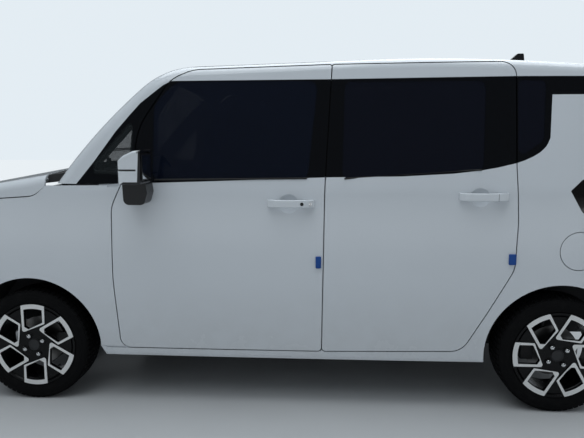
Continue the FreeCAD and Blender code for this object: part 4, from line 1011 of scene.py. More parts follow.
@dataclass
class Studio:
    """Camera at the photo's place, pale floor and soft light."""

    eye: Row = (0.3344, -3.4234, 1.2894)
    yaw: float = -3.55
    pitch: float = 8.03
    roll: float = -0.07
    lens: float = 35.53
    aim: Row = (0, 0, 0.6)
    daylight: Colour = (0.90, 0.96, 1.0)
    lights: tuple[tuple[str, Row, float, float], ...] = (
        ("key", (-1.5, -4.4, 7.0), 5.0, 92.0), ("top", (0.3, 0.8, 6.2), 8.5, 355.0),
        ("far", (2.5, 5.5, 4.6), 5.0, 90.0),
    )

    def build(self) -> None:
        """Makes the camera, the lights and the floor."""
        scene = bpy.context.scene
        yaw, pitch = math.radians(self.yaw), math.radians(self.pitch)
        level = math.cos(pitch)
        ahead = Vector((math.sin(yaw) * level, math.cos(yaw) * level, -math.sin(pitch)))
        data = bpy.data.cameras.new("camera")
        data.lens, data.sensor_width = self.lens, 36.0
        data.clip_start, data.clip_end = 0.05, 200.0
        camera = bpy.data.objects.new("camera", data)
        scene.collection.objects.link(camera)
        camera.location = self.eye
        roll = Matrix.Rotation(math.radians(self.roll), 4, "Z")
        turn = ahead.to_track_quat("-Z", "Y").to_matrix().to_4x4() @ roll
        camera.rotation_euler = turn.to_euler()
        scene.camera = camera
        scene.view_settings.view_transform = "Standard"
        self.lamps()
        self.sky()
        self.ground()

    def lamps(self) -> None:
        """Soft round lamps above the car."""
        for name, place, size, power in self.lights:
            data = bpy.data.lights.new(name, "AREA")
            data.shape, data.size, data.energy = "DISK", size, power
            data.color = self.daylight
            lamp = bpy.data.objects.new(name, data)
            bpy.context.scene.collection.objects.link(lamp)
            lamp.location = place
            lamp.rotation_euler = (Vector(self.aim) - Vector(place)).to_track_quat("-Z", "Y").to_euler()

    def sky(self) -> None:
        """An even world, dimmer where it lights or mirrors than where it is seen."""
        world = bpy.data.worlds.new("studio")
        bpy.context.scene.world = world
        world.use_nodes = True
        tree = world.node_tree
        back = tree.nodes["Background"]
        path = tree.nodes.new("ShaderNodeLightPath")
        strength = self.choice(tree, path.outputs["Is Glossy Ray"], 0.32, 0.07)
        strength = self.choice(tree, path.outputs["Is Camera Ray"], strength, 0.90)
        tree.links.new(strength, back.inputs["Strength"])
        back.inputs["Color"].default_value = (0.86, 0.94, 1.0, 1.0)

    @staticmethod
    def choice(tree: bpy.types.NodeTree, factor: object, no: object, yes: object) -> object:
        """A number that is one value or another by a ray's kind.

        Args:
            tree: The world's nodes.
            factor: Socket that is 1 for rays of the kind.
            no: Number or socket for other rays.
            yes: Number for rays of the kind.

        Returns:
            The socket with the chosen number.
        """
        node = tree.nodes.new("ShaderNodeMix")
        node.data_type = "FLOAT"
        for socket, value in ((node.inputs[0], factor), (node.inputs[2], no), (node.inputs[3], yes)):
            if isinstance(value, float):
                socket.default_value = value
            else:
                tree.links.new(value, socket)
        return node.outputs[0]

    def ground(self) -> None:
        """Pale floor below the wheels."""
        bpy.ops.object.select_all(action="DESELECT")
        bpy.ops.mesh.primitive_plane_add(size=60.0, location=(0, 0, 0))
        floor = Bench.start("studio_floor")
        s = Shader("studio_floor_pale")
        x, y, _ = s.xyz
        far = (x * x + y * y).root().step(4.5, 13.0)
        near = s.mix(s.noise(3.0, 4.0), (0.50, 0.51, 0.52), (0.54, 0.55, 0.56))
        dark = (0.0, 0.0, 0.0)
        s.set(Base_Color=s.mix(far, near, dark), Roughness=0.85)
        s.set(Emission_Color=s.mix(far, dark, self.daylight), Emission_Strength=0.9)
        floor.data.materials.append(s.material)


@dataclass
class Shell:
    """Finishes of the CAD nodes whose shape stays; {} stands for each side's word."""

    finishes: dict[str, str] = field(default_factory=lambda: {
        "paint_band": "side_frame_{} door_front_{} door_rear_{}",
        "paint": "roof_panel tailgate fuel_flap bonnet front_wings front_bumper rear_bumper "
                 "handle_front_{} handle_rear_{}",
        "black": "cowl front_grilles fuel_tank",
        "black_smooth": "aerial mirror_{}",
        "trim_dark": "dashboard steering_wheel seat_bases",
        "glass_dark": "door_glass_rear_{} quarter_windows tailgate_glass",
        "glass_side": "door_glass_front_{}",
        "glass_clear": "windscreen",
        "under": "floor_pan front_subframe front_struts rear_axle",
        "cast": "knuckle_front_{}",
        "alloy": "engine_block",
        "exhaust": "exhaust",
        "lamp_smoke": "tail_lamps",
        "lamp_cover": "head_lamps",
        "rim_black": "rim_front_{} rim_rear_{}",
    })
    bright_y: float = 0.7735
    disc_y: float = 0.699
    disc_reach: float = 0.123
    lining_z: float = 1.1

    def build(self) -> None:
        """Gives each node its finish, and its faces theirs where one node has several."""
        for key, names in self.finishes.items():
            for name, _ in self.spelled(names):
                self.coat(name, key)
        for names, key, test in self.faces():
            for name, k in self.spelled(names):
                Bench.patch(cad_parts[name], key, lambda c, n, k=k, test=test: test(
                    Vector((c.x, c.y * k, c.z)), Vector((n.x, n.y * k, n.z))))

    def faces(self) -> tuple[tuple[str, str, Test], ...]:
        """Rows of nodes, finish and test; in the test, y runs from the car's middle to the side."""
        rims = "rim_front_{} rim_rear_{}"
        return (
            (rims, "rim_bright", lambda c, n: c.y > self.bright_y and n.y > 0.9),
            (rims, "disc", lambda c, n: c.y < self.disc_y and self.reach(c) < self.disc_reach),
            ("door_front_{} door_rear_{}", "trim_dark", lambda c, n: n.y < -0.35 and c.y < self.inner(c.z)),
            ("side_frame_{}", "trim_dark", lambda c, n: n.y < -0.35 and c.y < 0.74 and c.z < self.lining_z),
            ("side_frame_{}", "trim_light", lambda c, n: n.y < -0.35 and c.z >= self.lining_z),
            ("mirror_{}", "paint_cap", lambda c, n: c.z > 1.104 and c.x < -0.484 and n.x < 0.75),
            ("roof_panel", "trim_light", lambda c, n: n.z < -0.5),
            ("tailgate", "trim_dark", lambda c, n: n.x < -0.4),
            ("floor_pan", "carpet", lambda c, n: n.z > 0.7 and abs(c.y) < 0.6 and -0.744 < c.x < 1.6),
            ("quarter_windows", "glass_clear", lambda c, n: c.x < 0),
        )

    @staticmethod
    def spelled(names: str) -> Iterator[tuple[str, int]]:
        """Spells node names out.

        Args:
            names: Names in a row, where {} stands for each side's word.

        Yields:
            A node's name and the sign of its side's Y, which is 1 for a node of both sides.
        """
        for name in names.split():
            for side in Side if "{}" in name else (Side.RIGHT,):
                yield name.format(side.word), side.value

    @staticmethod
    def reach(c: Vector) -> float:
        """Distance from the nearest axle line."""
        axle = FRONT_AXLE if c.x < 0 else REAR_AXLE
        return math.hypot(c.x - axle, c.z - WHEEL_Z)

    @staticmethod
    def inner(z: float) -> float:
        """How far out the inner face of a door can be at a height."""
        return 0.762 if z < 1.05 else 0.762 - (z - 1.05) * 0.16

    @staticmethod
    def coat(name: str, key: str) -> None:
        """Gives a whole node one finish.

        Args:
            name: The node's name.
            key: Its finish.
        """
        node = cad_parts[name]
        if node.data.users > 1:
            node.data = node.data.copy()
        Bench.coated(node, key)
        for polygon in node.data.polygons:
            polygon.material_index = 0


@dataclass
class WheelSet:
    """Tyres with their tread, wheel nuts, caps and valves."""

    radius: float = 0.278
    pitches: int = 66
    tread_rows: tuple[Row, ...] = (  # (inner edge, outer edge, drop at the outer edge, skew, length share)
        (0.0035, 0.0235, 0.0, 0.004, 0.86), (0.0285, 0.0475, 0.0002, 0.006, 0.84),
        (0.0525, 0.0760, 0.0030, 0.002, 0.82),
    )
    # Half of the tyre's outer line: (distance from the middle, radius)
    profile: tuple[Row, ...] = (
        (0.0675, 0.1902), (0.0712, 0.2068), (0.0745, 0.2090), (0.0790, 0.2150), (0.0800, 0.2185),
        (0.0845, 0.2270), (0.0868, 0.2360), (0.0870, 0.2440), (0.0858, 0.2455), (0.0850, 0.2475),
        (0.0838, 0.2560), (0.0800, 0.2640), (0.0745, 0.2695), (0.0700, 0.2703),
    )
    nut_circle: float = 0.050
    nut_angle: float = 25.7
    nut_face: float = -0.0745
    rear_turn: float = -98.0

    def carcass(self) -> bpy.types.Object:
        """The tyre without its tread blocks, spun about the axle at the origin."""
        line = [(-a, r) for a, r in self.profile] + [(a, r) for a, r in reversed(self.profile)]
        bpy.ops.object.select_all(action="DESELECT")
        bpy.ops.mesh.primitive_circle_add(vertices=len(line), radius=1.0, fill_type="NOTHING")
        obj = Bench.start("tyre_carcass")
        for vertex, (a, r) in zip(obj.data.vertices, line):
            vertex.co = (0.0, a, r)
        Bench.pick(obj)
        bpy.ops.object.mode_set(mode="EDIT")
        bpy.ops.mesh.select_all(action="SELECT")
        bpy.ops.mesh.spin(steps=96, angle=math.tau, center=(0, 0, 0), axis=(0, 1, 0))
        bpy.ops.object.mode_set(mode="OBJECT")
        Bench.outwards(obj)
        return Bench.smooth(obj, 40.0)

    def tread(self) -> bpy.types.Object:
        """One pitch of tread blocks, copied round the tyre."""
        base, top = 0.2690, self.radius - 0.0004
        length = math.tau * top / self.pitches
        blocks = []
        for sign in (-1, 1):
            for inner, outer, drop, skew, share in self.tread_rows:
                half = length * share / 2
                block = Bench.block("tread_block", (-half, min(sign * inner, sign * outer), base),
                                    (half, max(sign * inner, sign * outer), top))
                for vertex in block.data.vertices:
                    far = (abs(vertex.co.y) - inner) / (outer - inner)
                    vertex.co.x += sign * skew * far
                    if vertex.co.z > base + 0.001:
                        vertex.co.z -= drop * far
                        vertex.co.x *= 0.97
                blocks.append(Bench.soften(block, 0.0009, 1))
        pitch = Bench.join("tread_pitch", blocks)
        copies = [pitch]
        for i in range(1, self.pitches):
            turn = Matrix.Rotation(math.tau * i / self.pitches, 4, "Y")
            copies.append(Bench.twin(pitch, "tread_copy", turn))
        return Bench.join("tread_ring", copies)

    def nuts(self) -> bpy.types.Object:
        """Four domed hexagon nuts in their seats, with a plain cap, at the origin facing -Y."""
        kit = Kit()
        face = self.nut_face
        for i in range(4):
            angle = math.radians(self.nut_angle + 90 * i)
            x, z = self.nut_circle * math.cos(angle), self.nut_circle * math.sin(angle)
            kit.drum("chrome", "wheel_nut", (x, face - 0.004, z), 0.0108, 0.016, sides=6, bevel=0.0012)
            kit.ball("chrome", "nut_dome", (x, face - 0.0115, z), (0.0080, 0.0050, 0.0080), 16)
            kit.hoop("rim_black", "nut_seat", (x, face, z), 0.0135, 0.0018, around=24, across=8)
        middle = (0, face - 0.0005, 0)
        cap = kit.drum("black_smooth", "wheel_cap", middle, 0.0275, 0.006, sides=48, bevel=0.0015)
        Bench.inset(cap, lambda c, n: n.y < -0.9, 0.004, -0.0012)
        kit.hoop("black_smooth", "cap_ring", (0, face, 0), 0.0300, 0.0012)
        stem = [(0.118, face + 0.012, -0.105), (0.118, face + 0.002, -0.104), (0.1175, face - 0.012, -0.103)]
        kit.tube("black_smooth", "valve", stem, 0.0034)
        return kit.joined("nut_set")

    def build(self) -> None:
        """Makes one tyre and one set of nuts and copies them to the four wheels."""
        tyre = Bench.join("tyre_source", [self.carcass(), self.tread()])
        Bench.coated(tyre, "rubber")
        nuts = self.nuts()
        for side in Side:
            for place, axle, degrees in (("front", FRONT_AXLE, 0.0), ("rear", REAR_AXLE, self.rear_turn)):
                wheel = f"{place}_{side.word}"
                where = placed(side) @ Matrix.Translation((axle, -HALF_TRACK, WHEEL_Z))
                turn = Matrix.Rotation(math.radians(degrees), 4, "Y")
                piece = Bench.twin(tyre, f"tyre_detail_{wheel}", where)
                Bench.dress(piece, f"wheel_{wheel}", "tyre_rubber", [f"tyre_{wheel}"])
                piece = Bench.twin(nuts, f"wheel_nuts_{wheel}", where @ turn)
                Bench.dress(piece, f"wheel_{wheel}", "wheel_black")
        for obj in (tyre, nuts):
            bpy.data.objects.remove(obj)


@dataclass
class DoorFittings:
    """Edge guards, locks, belt strips and mirror glass, made at the left and mirrored."""

    guards: tuple = (("front", 0.281, 0.3065, 0.688, 0.743), ("rear", 1.162, 1.1940, 0.713, 0.762))
    belt: tuple = (("front", -0.474, 0.240, 1.101, 1.110), ("rear", 0.411, 1.030, 1.109, 1.150))
    front_handle: Row = (0.275, 0.990)
    rear_handle: Row = (1.149, 1.0235)
    body: str = "{}_door_{{}}"

    def build(self) -> None:
        """Makes all fittings of the doors."""
        self.edge_guards()
        self.front_lock()
        self.rear_step()
        self.belt_strips()
        self.mirror()

    def edge_guards(self) -> None:
        """Soft foam clips that shield the rear edges of the doors."""
        for place, x0, x1, z0, z1 in self.guards:
            y = Skin(f"door_{place}_left").side((x0 + x1) / 2 - 0.006, (z0 + z1) / 2).y
            kit = Kit()
            guard = kit.block("guard", "edge_guard", (x0, y - 0.011, z0), (x1, y + 0.004, z1), 0.004, 3)
            Bench.inset(guard, lambda c, n: n.y < -0.9, 0.004, -0.0012)
            kit.pair(f"edge_guard_{place}", self.body.format(place), smooth=50.0)

    def front_lock(self) -> None:
        """Key cylinder and button of the front handle."""
        skin = Skin("handle_front_left")
        x, z = self.front_handle
        spot = skin.side(x - 0.019, z)
        kit = Kit()
        lock = kit.drum("chrome", "lock_barrel", spot - Vector((0, 0.001, 0)), 0.0085, 0.006, bevel=0.001)
        Bench.inset(lock, lambda c, n: n.y < -0.9, 0.0025, -0.0012)
        kit.block("seal", "lock_slot", (-0.0007, -0.0052, -0.004), (0.0007, -0.0030, 0.004), at=spot)
        kit.drum("black_smooth", "handle_button", skin.side(x - 0.057, z), 0.0080, 0.004, bevel=0.0008)
        kit.pair("lock_front", self.body.format("front"), smooth=35.0)

    def rear_step(self) -> None:
        """Line where the rear handle steps down."""
        skin = Skin("handle_rear_left")
        x, z = self.rear_handle
        kit = Kit()
        rim = [skin.side(x - 0.052, z + dz, 0.0002) for dz in (-0.0160, -0.008, 0.0, 0.008, 0.0160)]
        kit.tube("seal", "handle_step", rim, 0.0009, 2)
        kit.pair("lock_rear", self.body.format("rear"), smooth=35.0)

    def belt_strips(self) -> None:
        """Rubber wipers along the foot of the door windows."""
        for place, x0, x1, z0, z1 in self.belt:
            skin = Skin(f"door_{place}_left")
            spots = [(x0 + (x1 - x0) * i / 8, z0 + (z1 - z0) * i / 8 - 0.006) for i in range(9)]
            kit = Kit()
            kit.tube("seal", "belt_strip", [skin.side(x, z, 0.0012) for x, z in spots], 0.0042, 3)
            kit.pair(f"belt_strip_{place}", self.body.format(place), smooth=60.0)

    def mirror(self) -> None:
        """Mirror glass in its frame."""
        glass = (-0.004, -0.975, 1.112), (0.0012, -0.858, 1.216)
        rim = (-0.003, -0.981, 1.106), (0.0005, -0.852, 1.222)
        for side in Side:
            back = (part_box(f"mirror_{side.word}")[1].x, 0, 0)
            kit = Kit()
            kit.block("mirror", "mirror_glass", *glass, 0.003, at=back)
            kit.block("black_smooth", "mirror_rim", *rim, 0.003, at=back)
            piece = kit.joined(f"mirror_detail_{side.word}")
            piece.data.transform(placed(side))
            if side is Side.RIGHT:
                piece.data.flip_normals()
            Bench.dress(piece, f"front_door_{side.word}", "black_plastic")


@dataclass
class Corners:
    """Small painted fillers: above the head lamps and at the front tips of the sills."""

    lamp_edge: tuple = (
        (-1.6830, -0.528), (-1.6740, -0.560), (-1.6635, -0.600), (-1.6490, -0.650), (-1.6330, -0.700),
        (-1.6180, -0.7215), (-1.5940, -0.7270), (-1.5940, -0.7050), (-1.6060, -0.6950), (-1.6250, -0.650),
        (-1.6395, -0.600), (-1.6590, -0.528),
    )
    sill_edge: tuple = ((-0.7415, 0.2365), (-0.7415, 0.2790), (-0.7720, 0.2815), (-0.7440, 0.2365))

    def build(self) -> None:
        """Makes both fillers on both sides."""
        kit = Kit()
        ledge = kit.plate("paint", "lamp_top", [(x, y, 0.9020) for x, y in self.lamp_edge], (0, 0, 0.044))
        for vertex in ledge.data.vertices:
            if vertex.co.z > 0.93:
                vertex.co.x += 0.0115
                vertex.co.z += 0.012 * min(1.0, max(0.0, (-vertex.co.y - 0.56) / 0.15))
        Bench.soften(ledge, 0.004, 3)
        kit.pair("lamp_top", slot="body_paint")
        kit = Kit()
        kit.plate("paint", "sill_tip", [(x, -0.7690, z) for x, z in self.sill_edge], (0, 0.012, 0), 0.0015)
        kit.pair("sill_tip", slot="body_paint")


@dataclass
class FuelFiller:
    """Screw cap in the dish behind the fuel flap."""

    middle: Row = (1.492, -0.738, 0.770)
    radius: float = 0.034

    def build(self) -> None:
        """Makes the neck ring, the cap and its grip."""
        spot = Vector(self.middle)
        outer = spot + Vector((0, -0.011, 0))
        kit = Kit()
        kit.drum("black", "filler_neck", spot, self.radius + 0.009, 0.012, sides=48, bevel=0.002)
        cap = kit.drum("black_smooth", "filler_cap", outer, self.radius, 0.018, sides=48, bevel=0.003)
        Bench.inset(cap, lambda c, n: n.y < -0.9, 0.005, -0.0015)
        low, high = (-0.026, -0.028, -0.006), (0.026, -0.016, 0.006)
        kit.block("black_smooth", "cap_grip", low, high, 0.004, 3, at=spot)
        kit.piece("fuel_cap")


@dataclass
class Plate:
    """A blank number plate with two bolts, facing along X."""

    size: Row = (0.335, 0.150)
    bolt_y: float = 0.105

    def build(self, kit: Kit, back: float, face: float, z0: float, bolt: Row) -> None:
        """Adds the plate and its bolts to a piece.

        Args:
            kit: The piece's parts.
            back: X of the plate's hidden side.
            face: X of its face.
            z0: Height of its foot.
            bolt: X of the bolts and their distance from the plate's head.
        """
        wide, high = self.size
        way = 1 if face > back else -1
        plate = kit.block("plate", "plate_face", (min(back, face), -wide / 2, z0),
                          (max(back, face), wide / 2, z0 + high), 0.001)
        Bench.inset(plate, lambda c, n: n.x * way > 0.9, 0.006, -0.0006)
        for y in (-self.bolt_y, self.bolt_y):
            spot = (bolt[0], y, z0 + high - bolt[1])
            kit.drum("steel", "plate_bolt", spot, 0.006, 0.003, (1, 0, 0), 20, 0.0008)


@dataclass
class Wiper:
    """A wiper at rest on glass: arm, blade with its rubber, and the cap over the pivot."""

    up: Row
    spine: float
    rubber: float
    hub: tuple[float, int, float]

    def build(self, kit: Kit, arm: Sequence[Row], blade: Sequence[Vector], pivot: Vector) -> None:
        """Adds one wiper to a piece.

        Args:
            kit: The piece's parts.
            arm: Line of the arm.
            blade: Line of the blade.
            pivot: Middle of the cap.
        """
        up = Vector(self.up)
        radius, sides, bevel = self.hub
        kit.tube("black_smooth", "wiper_arm", arm, 0.0050, 3)
        kit.tube("black_smooth", "wiper_spine", [p + up * self.spine for p in blade], 0.0034, 3)
        kit.drum("black_smooth", "wiper_cap", pivot, radius, 0.022, self.up, sides, bevel)
        kit.tube("seal", "wiper_rubber", [p - up * 0.003 for p in blade], self.rubber, 2)


@dataclass
class FrontFace:
    """Lamp internals, plate, wipers and grille edges at the front."""

    lamp_y: tuple[float, ...] = (0.575, 0.665)
    slot_z: Row = (0.796, 0.884)
    mouth_z: Row = (0.285, 0.476)
    plate_z: float = 0.312
    blades: tuple = (("right", 0.48, 0.555, -0.010), ("left", -0.08, -0.020, -0.560))

    def build(self) -> None:
        """Makes all front pieces."""
        self.lamps()
        self.number_plate()
        self.grille_edges()
        self.wipers()
        self.washer_jets()

    def lamps(self) -> None:
        """Projectors, light guides and bezel behind each clear cover."""
        skin = Skin("head_lamps")
        kit = Kit()

        def behind(depth: float, *spots: Row) -> list[Vector]:
            """Points at a depth behind the cover."""
            return [skin.front(-y, z) + Vector((depth, 0, 0)) for y, z in spots]

        corners = behind(0.030, (0.535, 0.672), (0.535, 0.888), (0.720, 0.888), (0.720, 0.672))
        kit.plate("black_smooth", "lamp_bezel", corners, (0.012, 0, 0), 0.002)
        for y in self.lamp_y:
            spot = behind(0.022, (y, 0.765))[0]
            kit.hoop("chrome", "lamp_ring", spot, 0.036, 0.0035, (1, 0, 0), 40, 8)
            bowl = spot + Vector((0.006, 0, 0))
            kit.drum("chrome", "lamp_bowl", bowl, 0.036, 0.012, (1, 0, 0), 40, tip=0.028)
            kit.ball("lamp_white", "lamp_projector", spot, (0.010, 0.026, 0.026))
        guide = behind(0.014, (0.545, 0.700), (0.545, 0.850), (0.570, 0.872), (0.700, 0.872))
        kit.tube("lamp_white", "light_guide", guide, 0.005, 3, smooth=False)
        turn = behind(0.014, *((y, 0.690) for y in (0.575, 0.620, 0.665, 0.705)))
        kit.tube("lamp_amber", "turn_strip", turn, 0.006, 3)
        kit.pair("head_lamp_detail", slot="lamp_clear")

    def number_plate(self) -> None:
        """Blank plate in a black carrier across the middle of the low mouth."""
        plate = Plate()
        x = Skin("front_bumper", "front_grilles").front(0.0, 0.395).x
        wide, high = plate.size
        z0 = self.plate_z
        face = max(x - 0.012, CAD_BOX[0][0] + 0.008)
        kit = Kit()
        kit.block("black", "plate_carrier", (face, -wide / 2 - 0.008, z0 - 0.006),
                  (x + 0.012, wide / 2 + 0.008, z0 + high + 0.006), 0.003)
        plate.build(kit, face + 0.001, face - 0.0022, z0, (face - 0.0032, 0.018))
        kit.piece("front_plate")

    def grille_edges(self) -> None:
        """Bright lines along the high slot and a rim round the low mouth."""
        skin = Skin("front_bumper", "front_grilles")
        kit = Kit()
        for z in self.slot_z:
            line = [skin.front(y, z, 0.0006) for y in (-0.49, -0.36, -0.18, 0.0, 0.18, 0.36, 0.49)]
            kit.tube("chrome", "slot_line", line, 0.0028, 3)
        for z in self.mouth_z:
            line = [skin.front(y, z, 0.0004) for y in (-0.46, -0.30, 0.0, 0.30, 0.46)]
            kit.tube("black_smooth", "mouth_line", line, 0.0030, 3)
        kit.piece("front_trim_lines", smooth=0.0)

    def wipers(self) -> None:
        """Two arms and blades that rest at the foot of the windscreen."""
        skin = Skin("windscreen", "cowl")
        wiper = Wiper((0, 0, 1), 0.005, 0.0028, (0.014, 28, 0.003))
        lift = Vector((0, 0, 0.012))
        for name, pivot, start, end in self.blades:
            base = skin.top(-0.955, pivot, 0.004)
            blade = [skin.top(-0.905 + 0.10 * abs(y) ** 2, y, 0.008) for y in spaced(start, end, 8)]
            centre = (blade[3] + blade[4]) / 2
            arm = [base + lift, base + lift + (centre - base) * 0.25, centre + lift]
            kit = Kit()
            wiper.build(kit, arm, blade, base + Vector((0, 0, 0.004)))
            kit.piece(f"wiper_{name}", smooth=0.0)

    def washer_jets(self) -> None:
        """Washer jets on the bonnet's rear edge."""
        skin = Skin("bonnet")
        kit = Kit()
        for y in (-0.30, 0.30):
            low, high = (-0.010, -0.014, -0.002), (0.010, 0.014, 0.006)
            kit.block("black", "washer_jet", low, high, 0.003, at=skin.top(-1.06, y))
        kit.piece("washer_jets", "bonnet_body")


@dataclass
class RearFace:
    """Tail-lamp internals, plate, wiper and reflectors at the back."""

    plate_z: float = 0.812
    bar_z: float = 0.974

    def build(self) -> None:
        """Makes all rear pieces."""
        self.lamps()
        self.number_plate()
        self.wiper()
        self.bumper_parts()
        self.stop_lamp()

    def lamps(self) -> None:
        """Light guides and small lamps on the smoked lens."""
        skin = Skin("tail_lamps")
        kit = Kit()
        outer = ((0.680, 1.085), (0.738, 1.060), (0.742, 0.940), (0.684, 0.905))
        inner = ((0.684, 1.050), (0.712, 1.035), (0.714, 0.965), (0.688, 0.945))
        for corners, thick in ((outer, 0.0052), (inner, 0.0040)):
            line = [skin.rear(-y, z, 0.0008) for y, z in corners]
            kit.tube("lamp_red", "tail_guide", line, thick, 3, smooth=False)
        for z, key in ((1.000, "lamp_white"), (0.975, "lamp_amber")):
            low, high = (-0.004, -0.008, -0.010), (0.0025, 0.008, 0.010)
            kit.block(key, "tail_cell", low, high, 0.002, at=skin.rear(-0.690, z))
        kit.pair("tail_lamp_detail", slot="lamp_red")

    def number_plate(self) -> None:
        """Blank plate that leans with the tailgate, with lamps and release bar above."""
        skin = Skin("tailgate")
        plate = Plate()
        z0 = self.plate_z
        foot, head = skin.rear(0.0, z0 - 0.012), skin.rear(0.0, z0 + plate.size[1] + 0.008)
        lean = (foot.x - head.x) / (head.z - foot.z)
        kit = Kit()
        plate.build(kit, -0.001, 0.003, z0, (0.0036, 0.016))
        for part in kit.parts:
            for vertex in part.data.vertices:
                vertex.co.x += foot.x + (foot.z - vertex.co.z) * lean
        x, z = skin.rear(0.0, 0.990).x, self.bar_z
        low, high = (x - 0.006, -0.215, z), (x + 0.014, 0.215, z + 0.030)
        kit.block("black_smooth", "release_bar", low, high, 0.006, 3)
        for y in (-0.09, 0.09):
            low, high = (x - 0.002, y - 0.020, z - 0.0025), (x + 0.010, y + 0.020, z + 0.0015)
            kit.block("lamp_white", "plate_lamp", low, high, 0.001)
        kit.piece("rear_plate", "tailgate_body")

    def wiper(self) -> None:
        """Rear wiper at rest across the foot of the tailgate glass."""
        skin = Skin("tailgate", "tailgate_glass")
        base = skin.rear(0.02, 1.140, 0.008)
        blade = [skin.rear(y, 1.205 + 0.05 * (0.30 - abs(y + 0.19)) * 0.5, 0.008)
                 for y in (-0.36, -0.28, -0.19, -0.10, -0.02)]
        arm = [base + Vector((0.010, 0, 0)), base + Vector((0.012, -0.05, 0.03)),
               blade[2] + Vector((0.009, 0, 0))]
        kit = Kit()
        Wiper((1, 0, 0), 0.004, 0.0026, (0.019, 32, 0.004)).build(kit, arm, blade, base)
        kit.piece("wiper_rear", "tailgate_body", smooth=0.0)

    def bumper_parts(self) -> None:
        """Red reflectors and sensor discs on the rear bumper."""
        skin = Skin("rear_bumper")
        kit = Kit()
        line = [skin.rear(y, 0.405, -0.007) for y in spaced(-0.50, -0.62, 7)]
        kit.tube("lamp_red", "reflector", line, 0.012, 4)
        for y in (0.22, 0.52):
            kit.drum("black", "sensor", skin.rear(-y, 0.500), 0.011, 0.003, (1, 0, 0), 28, 0.0008)
        kit.pair("bumper_detail", slot="lamp_red")

    def stop_lamp(self) -> None:
        """High stop lamp above the tailgate glass."""
        spot = Skin("tailgate", "tailgate_glass").rear(0.0, 1.612)
        kit = Kit()
        low, high = (-0.006, -0.120, -0.008), (0.0025, 0.120, 0.008)
        kit.block("lamp_red", "stop_lamp", low, high, 0.003, 3, at=spot)
        kit.piece("stop_lamp", "tailgate_body", "lamp_red")


@dataclass
class SeatPlan:
    """One cloth-covered seat: its node, its sewn lines and its light bands."""

    node: str
    seams: tuple[float, ...]
    insert: tuple[tuple[float, float], ...]
    voxel: float = 0.013


